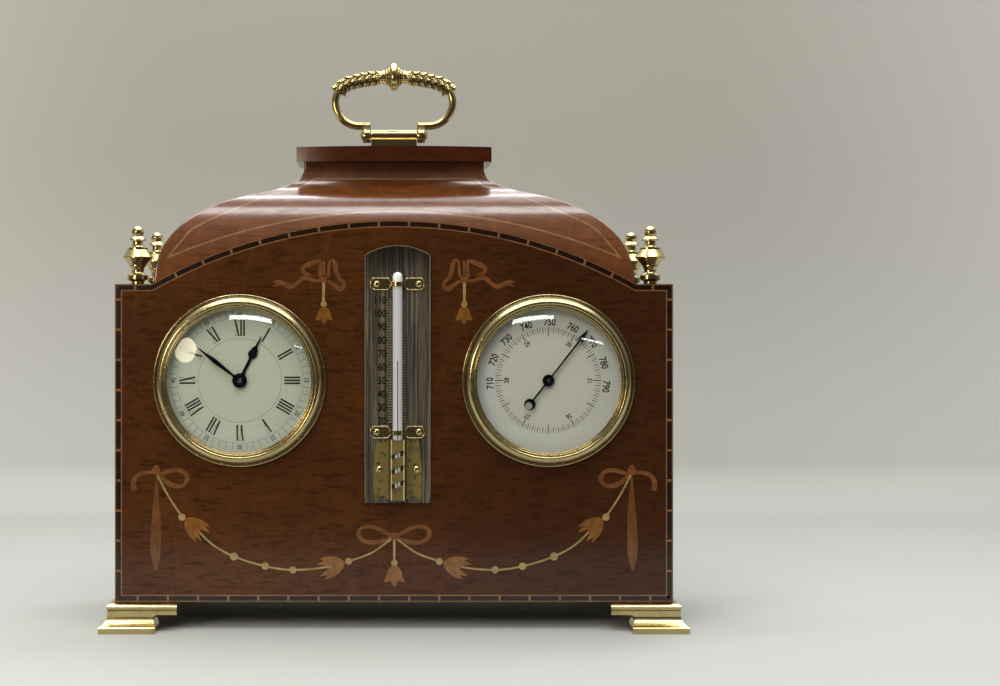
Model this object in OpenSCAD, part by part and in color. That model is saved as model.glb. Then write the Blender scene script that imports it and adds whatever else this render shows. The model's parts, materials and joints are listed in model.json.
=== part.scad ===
// Desk compendium: an arched wooden case on four brass bracket feet, with a hipped
// caddy top, a carrying handle, a clock, a thermometer and an aneroid barometer.
// X runs to the right, Y to the back and Z up, in millimetres. The origin is at the
// middle of the footprint, on the surface that the feet stand on.

/* [Case] */
// Width of the wooden case
case_w = 217; // [205:1:240]
// Depth of the case, front face to back face
case_d = 72; // [70:1:90]
// Height of the case from the feet to the shoulders
side_h = 123.6; // [121:0.1:140]
// Thickness of the front board and of the back board
board_t = 6; // [4:0.5:7]
// Thickness of the two sides
side_t = 7; // [5:0.5:8]
// Thickness of the base board
base_t = 7; // [5:0.5:9]
// Thickness of the board under the caddy top
top_t = 4.5; // [3.5:0.5:5]
// From the sides of the case to the ends of the arch
arch_in = 14; // [14:0.5:20]
// Rise of the arch above the shoulders
arch_rise = 24.8; // [18:0.1:27]

/* [Caddy top] */
// Height of the caddy top above the shoulders
caddy_h = 49.4; // [40:0.1:60]
// Width of the caddy's neck
neck_w = 72.8; // [60:0.1:74]
// Depth of the caddy's neck
neck_d = 24; // [20:0.5:28]
// Width of the slab on the neck
slab_w = 78.4; // [76:0.1:90]
// Depth of the slab at its two ends
slab_d = 30; // [29:0.5:36]
// How far the slab's front and back edges bow out
slab_bow = 5; // [3:0.5:7]
// Thickness of the slab
slab_t = 6; // [5:0.5:8]

/* [Back door] */
// From the sides of the case to the door opening in the back board
door_in = 20.5; // [19:0.5:30]
// From the case's lower edge and from its shoulders to the door opening
door_up = 15.8; // [14:0.1:20]
// Gap between the door and its frame
door_gap = 0.4; // [0.3:0.05:0.6]
// Radius of the hinge knuckles
knuckle_r = 1.5; // [1.3:0.1:1.7]
// Length of each hinge
hinge_l = 22; // [18:1:28]
// Radius of the hinge pins
hinge_pin_r = 0.7; // [0.6:0.05:0.8]
// Thickness of the hinge leaves
leaf_t = 0.8; // [0.6:0.1:1]
// Width of the hinge leaves
leaf_w = 8; // [6:0.5:10]
// Radius of the door knob
knob_r = 4; // [3:0.5:5]

/* [Feet] */
// Height of the bracket feet
foot_h = 11; // [10:0.5:14]
// How far the feet stand out past the sides of the case
foot_out_x = 5.2; // [4.5:0.1:7]
// How far the feet stand out past the front and the back
foot_out_y = 8; // [6.2:0.1:9]
// Length of the foot's flange along the case, from the corner
flange_l = 24.5; // [20:0.5:30]
// Length of the foot's base, from the corner
base_l = 16.7; // [13:0.1:18]
// Height of the flange
flange_h = 4.4; // [3:0.1:5]
// Thickness of the foot's walls under the case
foot_wall = 4; // [3:0.5:6]
// Thickness of the foot's top plate
foot_plate_t = 1.6; // [1.2:0.1:2.4]
// Length of the screws that hold the feet
foot_screw_l = 6; // [5:0.5:7]

/* [Finials] */
// Height of a finial
finial_h = 23.1; // [18:0.1:28]
// Largest radius of a finial
finial_r = 5.95; // [5:0.05:6]
// From the side of the case to the finial's axis
finial_in_x = 7.2; // [7:0.1:7.4]
// From the front or back of the case to the finial's axis
finial_in_y = 10.4; // [8:0.1:14]

/* [Handle] */
// Length of the fixed barrel that the handle swings on
barrel_l = 18.6; // [16:0.1:22]
// Radius of the fixed barrel
barrel_r = 2.4; // [2:0.05:2.8]
// Height of the pivot above the slab
pivot_up = 6.15; // [6:0.05:7]
// Thickness of the base plate
plate_t = 3.2; // [2:0.1:3.4]
// Depth of the base plate
plate_d = 9; // [7:0.5:12]
// Height of the handle's crown above the pivot
crown_up = 24.1; // [22:0.1:28]
// Half the handle's width, to the middle of its side
reach = 24.1; // [21:0.1:27]
// Radius of the long curve over the crown
crown_r = 68; // [60:1:80]
// Half the width of the crown's curve
crown_half = 18; // [16:0.1:19]
// Height of the lower arms' ends above the pivot
arm_up = 3.9; // [3.5:0.1:4.5]
// Radius of the plain lower arms
arm_r = 1.6; // [1.3:0.05:1.8]
// Radius of the carved upper arms
sheath_r = 2.6; // [2.2:0.05:2.8]
// Thickness of the lugs
lug_t = 3.3; // [2.5:0.1:4]
// Radius of the lugs' round ends
lug_r = 3; // [2.7:0.05:3.3]
// Radius of the turned knob at the crown
crown_knob_r = 5.8; // [5:0.1:5.9]
// Radius of the pivot pins
pivot_r = 1.1; // [0.9:0.05:1.3]

/* [Instruments] */
// Gap between the board under the caddy top and the rings that hold the drums
drum_gap = 1.2; // [0.5:0.1:4]
// Thickness of the rings that hold the drums
ring_t = 2.4; // [1.5:0.1:3]
// Outer radius of the bezels
bezel_r = 33.6; // [33:0.1:36]
// Radius of the opening inside a bezel
opening_r = 27.9; // [27:0.1:28.2]
// Height of a bezel on the board
bezel_h = 4.8; // [4:0.1:5.2]
// Thickness of a bezel's flange
rim_t = 1.7; // [1.2:0.1:2]
// Outer radius of the drums
drum_r = 29.4; // [29:0.1:30]
// Wall of the drums
drum_wall = 0.8; // [0.6:0.1:1]
// Thickness of the domed glasses
glass_t = 1.2; // [0.8:0.1:1.5]
// How far the glass domes forward
dome_h = 3.1; // [2:0.1:3.4]
// Thickness of the dials
dial_t = 0.8; // [0.6:0.1:1]
// From the front face back to the dials
dial_in = 0.8; // [0.6:0.1:1.4]

/* [Clock] */
// Length of the clock's drum behind the front face
clock_drum_l = 34; // [32:0.5:38]
// Radius of the movement's plates
mov_r = 25.6; // [25:0.1:26]
// Thickness of the movement's plates
mov_t = 1.4; // [1.2:0.1:1.8]
// From the dial to the front plate
motion_gap = 5.2; // [5:0.1:6]
// Distance between the movement's plates
plate_gap = 14; // [12:0.5:15]
// Radius of the pillars
pillar_r = 1.6; // [1.3:0.1:2]
// Radius of the centre arbor
arbor_r = 0.8; // [0.7:0.05:0.9]
// Module of the cannon pinion and the minute wheel
gear_mod = 0.44; // [0.4:0.01:0.46]
// Module of the barrel and the centre pinion
train_mod = 0.36; // [0.33:0.01:0.37]
// Thickness of the wheels
wheel_t = 0.9; // [0.7:0.1:1.1]
// Length of the minute hand
minute_l = 20.4; // [18:0.1:24]
// Length of the hour hand
hour_l = 19; // [14:0.1:20]
// Clock angle of the minute hand at rest, from twelve
minute_deg = 308; // [0:1:359]
// Clock angle of the hour hand at rest, from twelve
hour_deg = 26; // [0:1:359]
// Thickness of the hands
hand_t = 0.35; // [0.25:0.05:0.4]
// Radius of the key's shank
key_r = 2.1; // [1.8:0.1:2.5]
// Gap between the winding key and the back door
key_gap = 10.6; // [3:0.1:12]

/* [Barometer] */
// Length of the barometer's drum behind the front face
baro_drum_l = 22; // [20:0.5:28]
// Radius of the aneroid capsule
capsule_r = 15; // [12:0.5:17]
// Length of the barometer's needle, from its axis
needle_l = 25; // [22:0.1:26]
// Length of the needle's tail
tail_l = 14; // [12:0.1:16]
// Clock angle of the needle at rest, from twelve
needle_deg = 38; // [0:1:90]

/* [Thermometer] */
// From the middle of the case to the thermometer's middle
thermo_x = 1.4; // [-3:0.1:3]
// Width of the thermometer's scale plate
scale_w = 25.6; // [24:0.1:28]
// From the top of the case's arch down to the scale plate
scale_gap = 9.7; // [8:0.1:16]
// Rise of the scale plate's arched top
scale_rise = 3.8; // [2:0.1:5]
// From the feet to the scale plate's lower edge
scale_up = 38.6; // [36:0.1:39]
// Thickness of the scale plate
scale_t = 1; // [0.8:0.1:1.2]
// Radius of the thermometer's glass tube
tube_r = 1.95; // [1.7:0.05:2]
// Radius of the bore in the glass tube
bore_r = 0.5; // [0.3:0.05:0.6]
// Thickness of the clips and the guard plate
clip_t = 0.5; // [0.4:0.05:0.6]
// Width of the clips
clip_w = 21; // [19:0.1:23]
// Height of the clips
clip_h = 4.9; // [4:0.1:6]
// Width of the guard plate
guard_w = 18.8; // [17:0.1:20]
// Height of the guard plate
guard_h = 23.2; // [21:0.1:26]
// Width of the slotted guard over the bulb
bulb_guard_w = 5.4; // [5.2:0.1:6.4]
// Radius of the thermometer's bulb
bulb_r = 2.05; // [1.8:0.05:2.1]
// Height of the liquid's column above the feet
liquid_up = 94; // [80:0.5:110]

/* [Hidden] */

$fn = 48;
// Facets of the large rounds, and steps along a drawn curve
fine = 360;
steps = 10;
// Overrun of the cuts, running clearance, and space between neighbours
over = 1;
run = 0.05;
space = 0.3;

// Places in the case
front_y = -case_d / 2;
back_y = case_d / 2;
inner_y = back_y - board_t;
half_w = case_w / 2;
arch_w = case_w - 2 * arch_in;
shoulder_z = foot_h + side_h;
arch_r = (arch_w * arch_w / 4 + arch_rise * arch_rise) / (2 * arch_rise);
base_z = foot_h + base_t;
top_z = shoulder_z - top_t;
slab_z = shoulder_z + caddy_h;
slab_top = slab_z + slab_t;
pivot_z = slab_top + pivot_up;
dial_z = top_z - drum_gap - ring_t - drum_r;
// Share of the spare width between a bezel and the scale plate, the rest being outside
dial_share = 0.4772;
dial_x = scale_w / 2 + bezel_r + (half_w - scale_w / 2 - 2 * bezel_r) * dial_share;

// Caddy top: how far in and how far up its ogee has come, in two stretches of curve
caddy_low_shares = [[0, 0], [0, 0.45], [0.33, 0.66], [0.7, 0.748]];
caddy_high_shares = [[0.7, 0.748], [0.86, 0.786], [1, 0.85], [1, 0.95]];

// Door and its hinges
door_w = case_w - 2 * door_in;
door_h = side_h - 2 * door_up;
door_z = foot_h + side_h / 2;
hinge_x = -door_w / 2;
hinge_y = back_y + knuckle_r + run;
hinge_up_share = 0.3;
pin_head_share = 0.9;
knob_shares = [[0, 0], [0.55, 0], [0.55, 0.25], [1, 0.6], [0.9, 0.9], [0.5, 1], [0, 1]];
knob_out = foot_out_y - over;
knob_shank_share = 0.35;
knob_side_share = 0.9;

// Feet: outward and upward shares of the moulding, from the bottom to the top
foot_plinth_shares = [[1, 0], [1, 0.2]];
foot_flare_shares = [[0.95, 0.23], [0.68, 0.31], [0.5, 0.39], [0.46, 0.54]];
foot_fascia_shares = [[0.46, 0.74], [0.42, 0.76]];
foot_bead_shares = [[0.48, 0.78], [0.58, 0.92], [0.36, 1], [0, 1]];
foot_fillet_share = 0.35;
foot_waist_share = 0.93;
foot_screw_r = 1.6;
foot_screw_head_r = 3.2;
screw_in = (foot_wall + flange_l) / 2;

// Finials: radius and height shares of each stretch, from the bottom to the ball
finial_foot_shares = [[0.43, 0], [0.43, 0.05], [0.68, 0.09], [0.68, 0.155]];
finial_neck_shares = [[0.64, 0.162], [0.34, 0.185], [0.36, 0.25], [0.5, 0.306]];
finial_bowl_shares = [[0.55, 0.31], [0.55, 0.33], [0.76, 0.397], [1, 0.457], [1, 0.47], [0.68, 0.594],
    [0.68, 0.626], [0.5, 0.63]];
finial_collar_shares = [[0.46, 0.635], [0.35, 0.65], [0.34, 0.7], [0.36, 0.745]];
finial_cone_shares = [[0.53, 0.75], [0.56, 0.757], [0.56, 0.772], [0.31, 0.84]];
finial_ball_share = 0.41;
spigot_r_share = 0.2;
spigot_l = top_t - over;

// Handle: its arcs meet tangent to tangent, in the plane of the barrel
crown_deg = asin(crown_half / crown_r);
crown_end_z = crown_up - crown_r * (1 - cos(crown_deg));
bend_r = (reach - crown_half) / (1 - sin(crown_deg));
bend_z = crown_end_z - bend_r * cos(crown_deg);
side_r = bend_z - arm_up;
leaf_share = 0.62;
taper_share = 0.97;
lug_gap = 0.2;
lug_x = barrel_l / 2 + lug_gap;
pivot_head_r_share = 0.85;
pivot_head_t_share = 0.28;
pivot_in_share = 0.3;
crown_knob_shares = [[0, 0.8], [0.44, 0.8], [0.49, 0.74], [0.49, 0.5], [0.72, 0.47], [0.75, 0.35],
    [0.8, 0.32], [0.93, 0.26], [1, 0.12], [1, -0.12], [0.93, -0.26], [0.8, -0.32], [0.75, -0.35],
    [0.72, -0.47], [0.49, -0.5], [0.49, -0.74], [0.44, -0.8], [0, -0.8]];
plate_stud_share = 0.32;
stud_r = 1.45;
saddle_share = 0.7;

// Instruments: the bezel's section across its ring and up its height
ring_w = bezel_r - opening_r;
bezel_low_shares = [[0.12, 0], [0.9, 0], [0.86, 0.36], [0.84, 0.72]];
bezel_high_shares = [[0.38, 0.72], [0.34, 0.62], [0.22, 0.62], [0, 0.66], [0, 0.47], [0.12, 0.47]];
band_in_share = 0.61;
band_r_share = 0.23;
bead_in_share = 0.11;
bead_r_share = 0.1;
lip_share = 0.47;
rebate_share = 0.12;
bead_up_share = 0.66;
drum_in = drum_r - drum_wall;
glass_edge = opening_r + ring_w * rebate_share - run;
glass_r = (glass_edge * glass_edge + dome_h * dome_h) / (2 * dome_h);
glass_rise = (glass_edge * glass_edge - opening_r * opening_r) / (2 * glass_r);
glass_top = bezel_h * lip_share - 2 * run - glass_rise;
dial_r = drum_in - run;
dial_back = dial_in + dial_t;
board_hole_r = drum_r + space;

// Clock: depths run back from the front face
plate_in = dial_back + motion_gap;
back_plate_in = plate_in + mov_t + plate_gap;
cover_t = 1.1;
cover_in = clock_drum_l + cover_t;
cannon_teeth = 12;
minute_teeth = 36;
pinion_teeth = 10;
hour_teeth = 40;
barrel_teeth = 60;
centre_teeth = 12;
motion_dist = gear_mod * (cannon_teeth + minute_teeth) / 2;
hour_mod = 2 * motion_dist / (pinion_teeth + hour_teeth);
wheel_deg = -38;
stud_share = 0.7;
barrel_dist = train_mod * (barrel_teeth + centre_teeth) / 2;
wheel_rim_mods = 2.5;
wheel_hub_mods = 2;
wheel_web_mods = 4;
barrel_r_in = train_mod * (barrel_teeth / 2 - wheel_hub_mods);
barrel_h_share = 0.6;
tip_share = 0.75;
root_share = 1.1;
tooth_shares = [0.3, 0.21, 0.1];
pillar_deg = [40, 140, 200, 340];
pillar_collar_share = 1.4;
pillar_collar_l_share = 0.3;
pinion_l_share = 0.3;
pillar_share = 0.87;
cannon_wall = 0.48;
cannon_r = arbor_r + cannon_wall;
pipe_wall = 0.54;
hour_pipe_r = cannon_r + pipe_wall;
hand_gap = 0.455;
hour_hand_up = hand_gap - dial_in;
minute_hand_up = hour_hand_up + hand_t + hand_gap;
hub_share = 0.14;
minute_shares = [[0.035, 0], [0.022, 0.2], [0.046, 0.6], [0.018, 0.86], [0.009, 1]];
hour_shares = [[0.035, 0], [0.03, 0.3], [0.03, 0.55], [0.075, 0.7], [0.02, 0.78], [0.009, 1]];
hour_disc_share = 0.6;
hour_disc_r_share = 0.094;
set_knob_r = 3.8;
set_knob_l = 3.6;
square_w = 2.5;
square_l = 6.3;
key_wing_share = 1.5;
key_in = cover_in + space;
key_l = case_d - board_t - key_gap - key_in;

// Barometer
bridge_in = dial_back + motion_gap;
capsule_h_share = 0.3;
capsule_ribs = 4;
capsule_groove_share = 0.33;
spring_up_share = 1.5;
spring_w_share = 0.5;
needle_r = 0.56;
needle_hub_share = 0.093;
needle_shares = [[0.012, 0], [0.014, 0.82], [0.055, 0.76], [0.012, 0.97], [0.004, 1]];
tail_ring_share = 0.16;
tail_hole_share = 0.62;
tail_hole_up_share = 0.7;

// Thermometer: heights above the front face, and places up the plate
scale_z = foot_h + scale_up;
scale_h = shoulder_z + arch_rise - scale_gap - scale_z;
scale_r = (scale_w * scale_w / 4 + scale_rise * scale_rise) / (2 * scale_rise);
tube_h = scale_t + tube_r + run;
tube_top_share = 0.895;
upper_clip_share = 0.849;
clip_gap = 0.45;
guard_low_share = 0.014;
guard_z = scale_z + scale_h * guard_low_share;
clip_places = [scale_z + scale_h * upper_clip_share, guard_z + guard_h + clip_gap + clip_h / 2];
bulb_in_share = 0.12;
clip_inner_r = tube_r + run;
clip_outer_r = clip_inner_r + clip_t;
clip_screw_share = 0.39;
guard_screw_share = 0.38;
clip_corner_share = 0.814;
clip_waist_share = 0.33;
screw_r = 0.6;
screw_head_r = 1.5;
screw_head_t = 0.5;
screw_slot_w = 0.35;
screw_slot_in = 0.2;
screw_slot_deg = 70;
screw_dome_share = 1.2;
screw_l_share = 0.7;
screw_l = board_t * screw_l_share;
tube_top = scale_z + scale_h * tube_top_share;
bulb_low = guard_z + guard_h * bulb_in_share;
bulb_top = guard_z + guard_h * (1 - bulb_in_share);
bulb_wall = 0.35;
notch_r = 1.5;
notch_share = 0.31;
guard_shares = [[0.47, 0], [0.5, 0.1], [0.5, 0.55], [0.43, 1]];
slot_up_shares = [0.267, 0.51, 0.755];
slot_deg = 22;
slot_w_share = 1.2;
slot_h = 1.7;
guard_out = tube_h + bulb_r + clip_t + run;

// Points along a cubic curve through four points, leaving out the first few steps
function curve(p, from) = [for (i = [from:steps]) let (t = i / steps)
    p[0] * pow(1 - t, 3) + p[1] * 3 * t * pow(1 - t, 2) + p[2] * 3 * t * t * (1 - t) + p[3] * t * t * t];

// Shares turned into sizes
function sized(shares, across, up) = [for (p = shares) [p[0] * across, p[1] * up]];

// An outline in X and Z, carried back from y by length
module along(y, length) {
    translate([0, y + length, 0]) rotate([90, 0, 0]) linear_extrude(length) children();
}

// An outline in Y and Z, carried to the right from x by length
module across(x, length) {
    translate([x, 0, 0]) rotate([90, 0, 90]) linear_extrude(length) children();
}

// A place on the front face: its Z axis points forward
module on_front(x, z) {
    translate([x, front_y, z]) rotate([90, 0, 0]) children();
}

// The case's outer corner on the side given by two signs, with X and Y outward
module at_corner(sx, sy) {
    mirror([sx < 0 ? 1 : 0, 0, 0]) mirror([0, sy < 0 ? 1 : 0, 0])
        translate([half_w, back_y, 0]) children();
}

// A block given by its two corners
module block(low, high) {
    translate(low) cube(high - low);
}

// The case's front outline: a square-shouldered box under a low round arch
module case_face() {
    translate([-half_w, foot_h]) square([case_w, side_h]);
    intersection() {
        translate([0, shoulder_z + arch_rise - arch_r]) circle(arch_r, $fn = fine);
        translate([-arch_w / 2, dial_z]) square([arch_w, side_h]);
    }
}

module front_board() color("saddlebrown") {
    difference() {
        along(front_y, board_t) case_face();
        for (side = [-1, 1])
            on_front(side * dial_x, dial_z)
                translate([0, 0, -board_t - over]) cylinder(r = board_hole_r, h = board_t + 2 * over);
        thermometer_screw_places() translate([0, 0, -screw_l])
            cylinder(r = screw_r + run, h = screw_l + over);
    }
}

module back_board() color("saddlebrown") {
    difference() {
        along(inner_y, board_t) case_face();
        block([-door_w / 2, inner_y - over, door_z - door_h / 2],
            [door_w / 2, back_y + over, door_z + door_h / 2]);
    }
}

// One side of the carcass, between the two boards and under the top board
module side_board(sign) color("sienna") {
    translate([sign < 0 ? -half_w : half_w - side_t, -inner_y, foot_h])
        cube([side_t, 2 * inner_y, side_h - top_t]);
}

module left_side() side_board(-1);
module right_side() side_board(1);

module base_board() color("saddlebrown") {
    difference() {
        block([side_t - half_w, -inner_y, foot_h], [half_w - side_t, inner_y, base_z]);
        for (sx = [-1, 1], sy = [-1, 1])
            at_corner(sx, sy) translate([-screw_in, -screw_in, foot_h - over])
                cylinder(r = foot_screw_r + run, h = foot_screw_l - foot_plate_t + over);
    }
}

module top_board() color("sienna") {
    difference() {
        block([-half_w, -inner_y, top_z], [half_w, inner_y, shoulder_z]);
        for (sx = [-1, 1], sy = [-1, 1])
            at_corner(sx, sy) translate([-finial_in_x, -finial_in_y, shoulder_z - spigot_l])
                cylinder(r = finial_r * spigot_r_share + run, h = spigot_l + over);
    }
}

// The ogee of the caddy top, from half its width at the shoulders to half its neck
module caddy_outline(half, neck) {
    edge = concat(curve(caddy_low_shares, 0), curve(caddy_high_shares, 1), [[1, 1]]);
    right = [for (p = edge) [half - p[0] * (half - neck), p[1] * caddy_h]];
    polygon(concat(right, [for (i = [len(right) - 1:-1:0]) [-right[i][0], right[i][1]]]));
}

// The two ogees cross, and meet in a mitred hip at each corner
module caddy_top() color("sienna") {
    translate([0, 0, shoulder_z]) intersection() {
        along(-inner_y, 2 * inner_y) caddy_outline(arch_w / 2, neck_w / 2);
        across(-arch_w / 2, arch_w) caddy_outline(inner_y, neck_d / 2);
    }
}

module top_slab() color("saddlebrown") {
    bow_r = (slab_w * slab_w / 4 + slab_bow * slab_bow) / (2 * slab_bow);
    difference() {
        translate([0, 0, slab_z]) linear_extrude(slab_t) intersection() {
            square([slab_w, slab_d + 2 * slab_bow], center = true);
            translate([0, slab_d / 2 + slab_bow - bow_r]) circle(bow_r, $fn = fine);
            translate([0, bow_r - slab_d / 2 - slab_bow]) circle(bow_r, $fn = fine);
        }
        plate_studs(stud_r + run, over);
    }
}

module back_door() color("saddlebrown") {
    difference() {
        block([door_gap - door_w / 2, inner_y, door_z - door_h / 2 + door_gap],
            [door_w / 2 - door_gap, back_y, door_z + door_h / 2 - door_gap]);
        knob_place() translate([0, 0, -board_t / 2 - run])
            cylinder(r = knob_r * knob_shank_share + run, h = board_t);
    }
}

// Both hinges, at one and the same share above and below the door's middle
module hinge_places() {
    for (sign = [-1, 1])
        translate([hinge_x, hinge_y, door_z + sign * door_h * hinge_up_share - hinge_l / 2]) children();
}

// One leaf with its share of the three knuckles: own lists their places from below
module hinge_leaf(sign, own) {
    third = hinge_l / 3;
    far = sign * leaf_w;
    difference() {
        union() {
            block([min(0, far), -knuckle_r - run, 0], [max(0, far), leaf_t - knuckle_r - run, hinge_l]);
            for (i = own) translate([0, 0, i * third]) cylinder(r = knuckle_r, h = third);
        }
        for (i = [0:2])
            if (len(search(i, own)) == 0)
                translate([0, 0, i * third - run]) cylinder(r = knuckle_r + space, h = third + 2 * run);
        translate([0, 0, -over]) cylinder(r = hinge_pin_r + run, h = hinge_l + 2 * over);
    }
}

module frame_hinges() color("goldenrod") hinge_places() hinge_leaf(-1, [0, 2]);
module door_hinges() color("goldenrod") hinge_places() hinge_leaf(1, [1]);

module hinge_pins() color("darkgoldenrod") {
    hinge_places() {
        cylinder(r = hinge_pin_r, h = hinge_l);
        translate([0, 0, hinge_l]) cylinder(r = knuckle_r * pin_head_share, h = leaf_t);
    }
}

// The knob's seat on the door's outer face, with its Z axis pointing back
module knob_place() {
    translate([door_w / 2 * knob_side_share, back_y, door_z]) rotate([-90, 0, 0]) children();
}

module door_knob() color("goldenrod") knob_place() {
    rotate_extrude() polygon(sized(knob_shares, knob_r, knob_out));
    translate([0, 0, -board_t / 2]) cylinder(r = knob_r * knob_shank_share, h = board_t / 2 + leaf_t);
}

// The foot seen square on from its side: across runs outward, and out is how far it stands out
module foot_outline(out) {
    low = foot_h - flange_h;
    r = flange_h * foot_fillet_share;
    waist = base_l * foot_waist_share;
    moulding = concat(foot_plinth_shares, curve(foot_flare_shares, 0), foot_fascia_shares,
        curve(foot_bead_shares, 0));
    difference() {
        polygon(concat(sized(moulding, out, foot_h),
            [[-flange_l, foot_h], [-flange_l, low], [-waist - r, low], [-waist - r, low - r],
                [-waist, low - r], [-base_l, foot_h * foot_plinth_shares[1][1]], [-base_l, 0]]));
        translate([-waist - r, low - r]) circle(r);
    }
}

// A cast bracket: its moulding is mitred at the corner and open on the inside
module foot(sx, sy) color("gold") {
    at_corner(sx, sy) difference() {
        intersection() {
            along(-flange_l, flange_l + foot_out_y) foot_outline(foot_out_x);
            across(-flange_l, flange_l + foot_out_x) foot_outline(foot_out_y);
        }
        block([-flange_l - over, -flange_l - over, -over],
            [-foot_wall, -foot_wall, foot_h - foot_plate_t]);
        translate([-screw_in, -screw_in, 0]) cylinder(r = foot_screw_r + run, h = foot_h + over);
    }
}

module foot_front_left() foot(-1, -1);
module foot_front_right() foot(1, -1);
module foot_rear_left() foot(-1, 1);
module foot_rear_right() foot(1, 1);

module foot_screws() color("darkgoldenrod") {
    for (sx = [-1, 1], sy = [-1, 1])
        at_corner(sx, sy) translate([-screw_in, -screw_in, foot_h - foot_plate_t]) {
            cylinder(r = foot_screw_r, h = foot_screw_l);
            translate([0, 0, -foot_plate_t])
                cylinder(r1 = foot_screw_r, r2 = foot_screw_head_r, h = foot_plate_t);
        }
}

// A turned urn with a ball on top, and a spigot that holds it in the top board
module finial(sx, sy) color("gold") {
    ball_r = finial_r * finial_ball_share;
    at_corner(sx, sy) translate([-finial_in_x, -finial_in_y, shoulder_z]) {
        rotate_extrude() polygon(sized(concat([[0, 0]], finial_foot_shares, curve(finial_neck_shares, 0),
            finial_bowl_shares, curve(finial_collar_shares, 0), finial_cone_shares,
            [[0, 1 - ball_r / finial_h]]), finial_r, finial_h));
        translate([0, 0, finial_h - ball_r]) sphere(ball_r);
        translate([0, 0, -spigot_l]) cylinder(r = finial_r * spigot_r_share, h = spigot_l + over);
    }
}

module finial_front_left() finial(-1, -1);
module finial_front_right() finial(1, -1);
module finial_rear_left() finial(-1, 1);
module finial_rear_right() finial(1, 1);

// The studs that hold the handle's plate in the slab
module plate_studs(r, extra) {
    for (sign = [-1, 1])
        translate([sign * barrel_l * plate_stud_share, 0, slab_top - slab_t * saddle_share])
            cylinder(r = r, h = slab_t * saddle_share + extra);
}

module handle_plate() color("gold") {
    difference() {
        union() {
            block([-barrel_l / 2, -plate_d / 2, slab_top], [barrel_l / 2, plate_d / 2, slab_top + plate_t]);
            block([-barrel_l / 2, -barrel_r * saddle_share, slab_top],
                [barrel_l / 2, barrel_r * saddle_share, pivot_z]);
            translate([-barrel_l / 2, 0, pivot_z]) rotate([0, 90, 0]) cylinder(r = barrel_r, h = barrel_l);
            plate_studs(stud_r, plate_t / 2);
        }
        for (sign = [-1, 1])
            mirror([sign < 0 ? 1 : 0, 0, 0]) translate([barrel_l / 2, 0, pivot_z]) rotate([0, -90, 0])
                translate([0, 0, -over])
                    cylinder(r = pivot_r + run, h = barrel_l * pivot_in_share + run + over);
    }
}

// A round bar bent along an arc in the plane of the barrel, a little way into its neighbours
module bar(middle, r, from, to, bar_r) {
    lap = run * 180 / (PI * r);
    translate([middle[0], 0, middle[1]]) rotate([90, 0, 0]) rotate([0, 0, from - lap])
        rotate_extrude(angle = to - from + 2 * lap, $fn = fine / 3)
            translate([r, 0]) circle(bar_r, $fn = 32);
}

// Half the bail below the crown: the bend, the plain lower arm and the lug it ends in
module bail_half() {
    bend_end = (90 - crown_deg) * (1 - leaf_share);
    bar([reach - bend_r, bend_z], bend_r, bend_end, 90 - crown_deg, sheath_r * taper_share);
    bar([reach - bend_r, bend_z], bend_r, 0, bend_end, arm_r);
    bar([reach - side_r, bend_z], side_r, -90, 0, arm_r * taper_share);
    translate([lug_x + lug_gap, 0, arm_up]) rotate([0, 90, 0])
        cylinder(r = arm_r * pow(taper_share, 2), h = reach - side_r - lug_x - lug_gap + run);
    difference() {
        across(lug_x, lug_t) {
            circle(lug_r);
            polygon([[-lug_r, 0], [lug_r, 0], [arm_r, arm_up + arm_r], [-arm_r, arm_up + arm_r]]);
        }
        translate([lug_x - over, 0, 0]) rotate([0, 90, 0])
            cylinder(r = pivot_r + run, h = lug_t + 2 * over);
    }
}

module bail_handle() color("gold") {
    translate([0, 0, pivot_z]) {
        bar([0, crown_up - crown_r], crown_r, 90 - crown_deg, 90 + crown_deg, sheath_r);
        bail_half();
        mirror([1, 0, 0]) bail_half();
        translate([0, 0, crown_up]) rotate([0, 90, 0])
            rotate_extrude() polygon(sized(crown_knob_shares, crown_knob_r, crown_knob_r));
    }
}

module handle_pivots() color("darkgoldenrod") {
    out = lug_x + lug_t + lug_gap;
    for (sign = [-1, 1])
        mirror([sign < 0 ? 1 : 0, 0, 0]) translate([out, 0, pivot_z]) rotate([0, 90, 0]) {
            translate([0, 0, barrel_l / 2 * (1 - 2 * pivot_in_share) - out])
                cylinder(r = pivot_r, h = out - barrel_l / 2 * (1 - 2 * pivot_in_share));
            intersection() {
                cylinder(r = lug_r * pivot_head_r_share, h = lug_r * pivot_head_t_share);
                translate([0, 0, lug_r * (pivot_head_t_share - 1) - run]) sphere(lug_r + run);
            }
        }
}

// The bezel's ring, from the opening out and from the board forward
module bezel_section() {
    translate([opening_r, 0]) polygon(concat(sized(bezel_low_shares, ring_w, bezel_h),
        sized(bezel_high_shares, ring_w, bezel_h)));
    translate([opening_r + ring_w * rebate_share, 0])
        square([ring_w * (1 - rebate_share) - rim_t / 2, rim_t]);
    intersection() {
        translate([bezel_r - rim_t / 2, rim_t / 2]) circle(rim_t / 2, $fn = 32);
        square([bezel_r, rim_t]);
    }
    translate([opening_r + ring_w * band_in_share, bezel_h - ring_w * band_r_share])
        circle(ring_w * band_r_share, $fn = 32);
    translate([opening_r + ring_w * bead_in_share, bezel_h * bead_up_share])
        circle(ring_w * bead_r_share, $fn = 24);
}

module bezel(x) color("gold") {
    on_front(x, dial_z) rotate_extrude($fn = fine / 4) bezel_section();
}

// A thin dome of glass, whose edge sits under the bezel's lip
module glass(x) color("lightcyan", 0.3) {
    on_front(x, dial_z) rotate_extrude($fn = fine / 4) intersection() {
        translate([0, glass_top - glass_t]) square([glass_edge, dome_h + glass_t]);
        difference() {
            translate([0, glass_top + dome_h - glass_r]) circle(glass_r, $fn = fine);
            translate([0, glass_top + dome_h - glass_t - glass_r]) circle(glass_r, $fn = fine);
        }
    }
}

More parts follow.
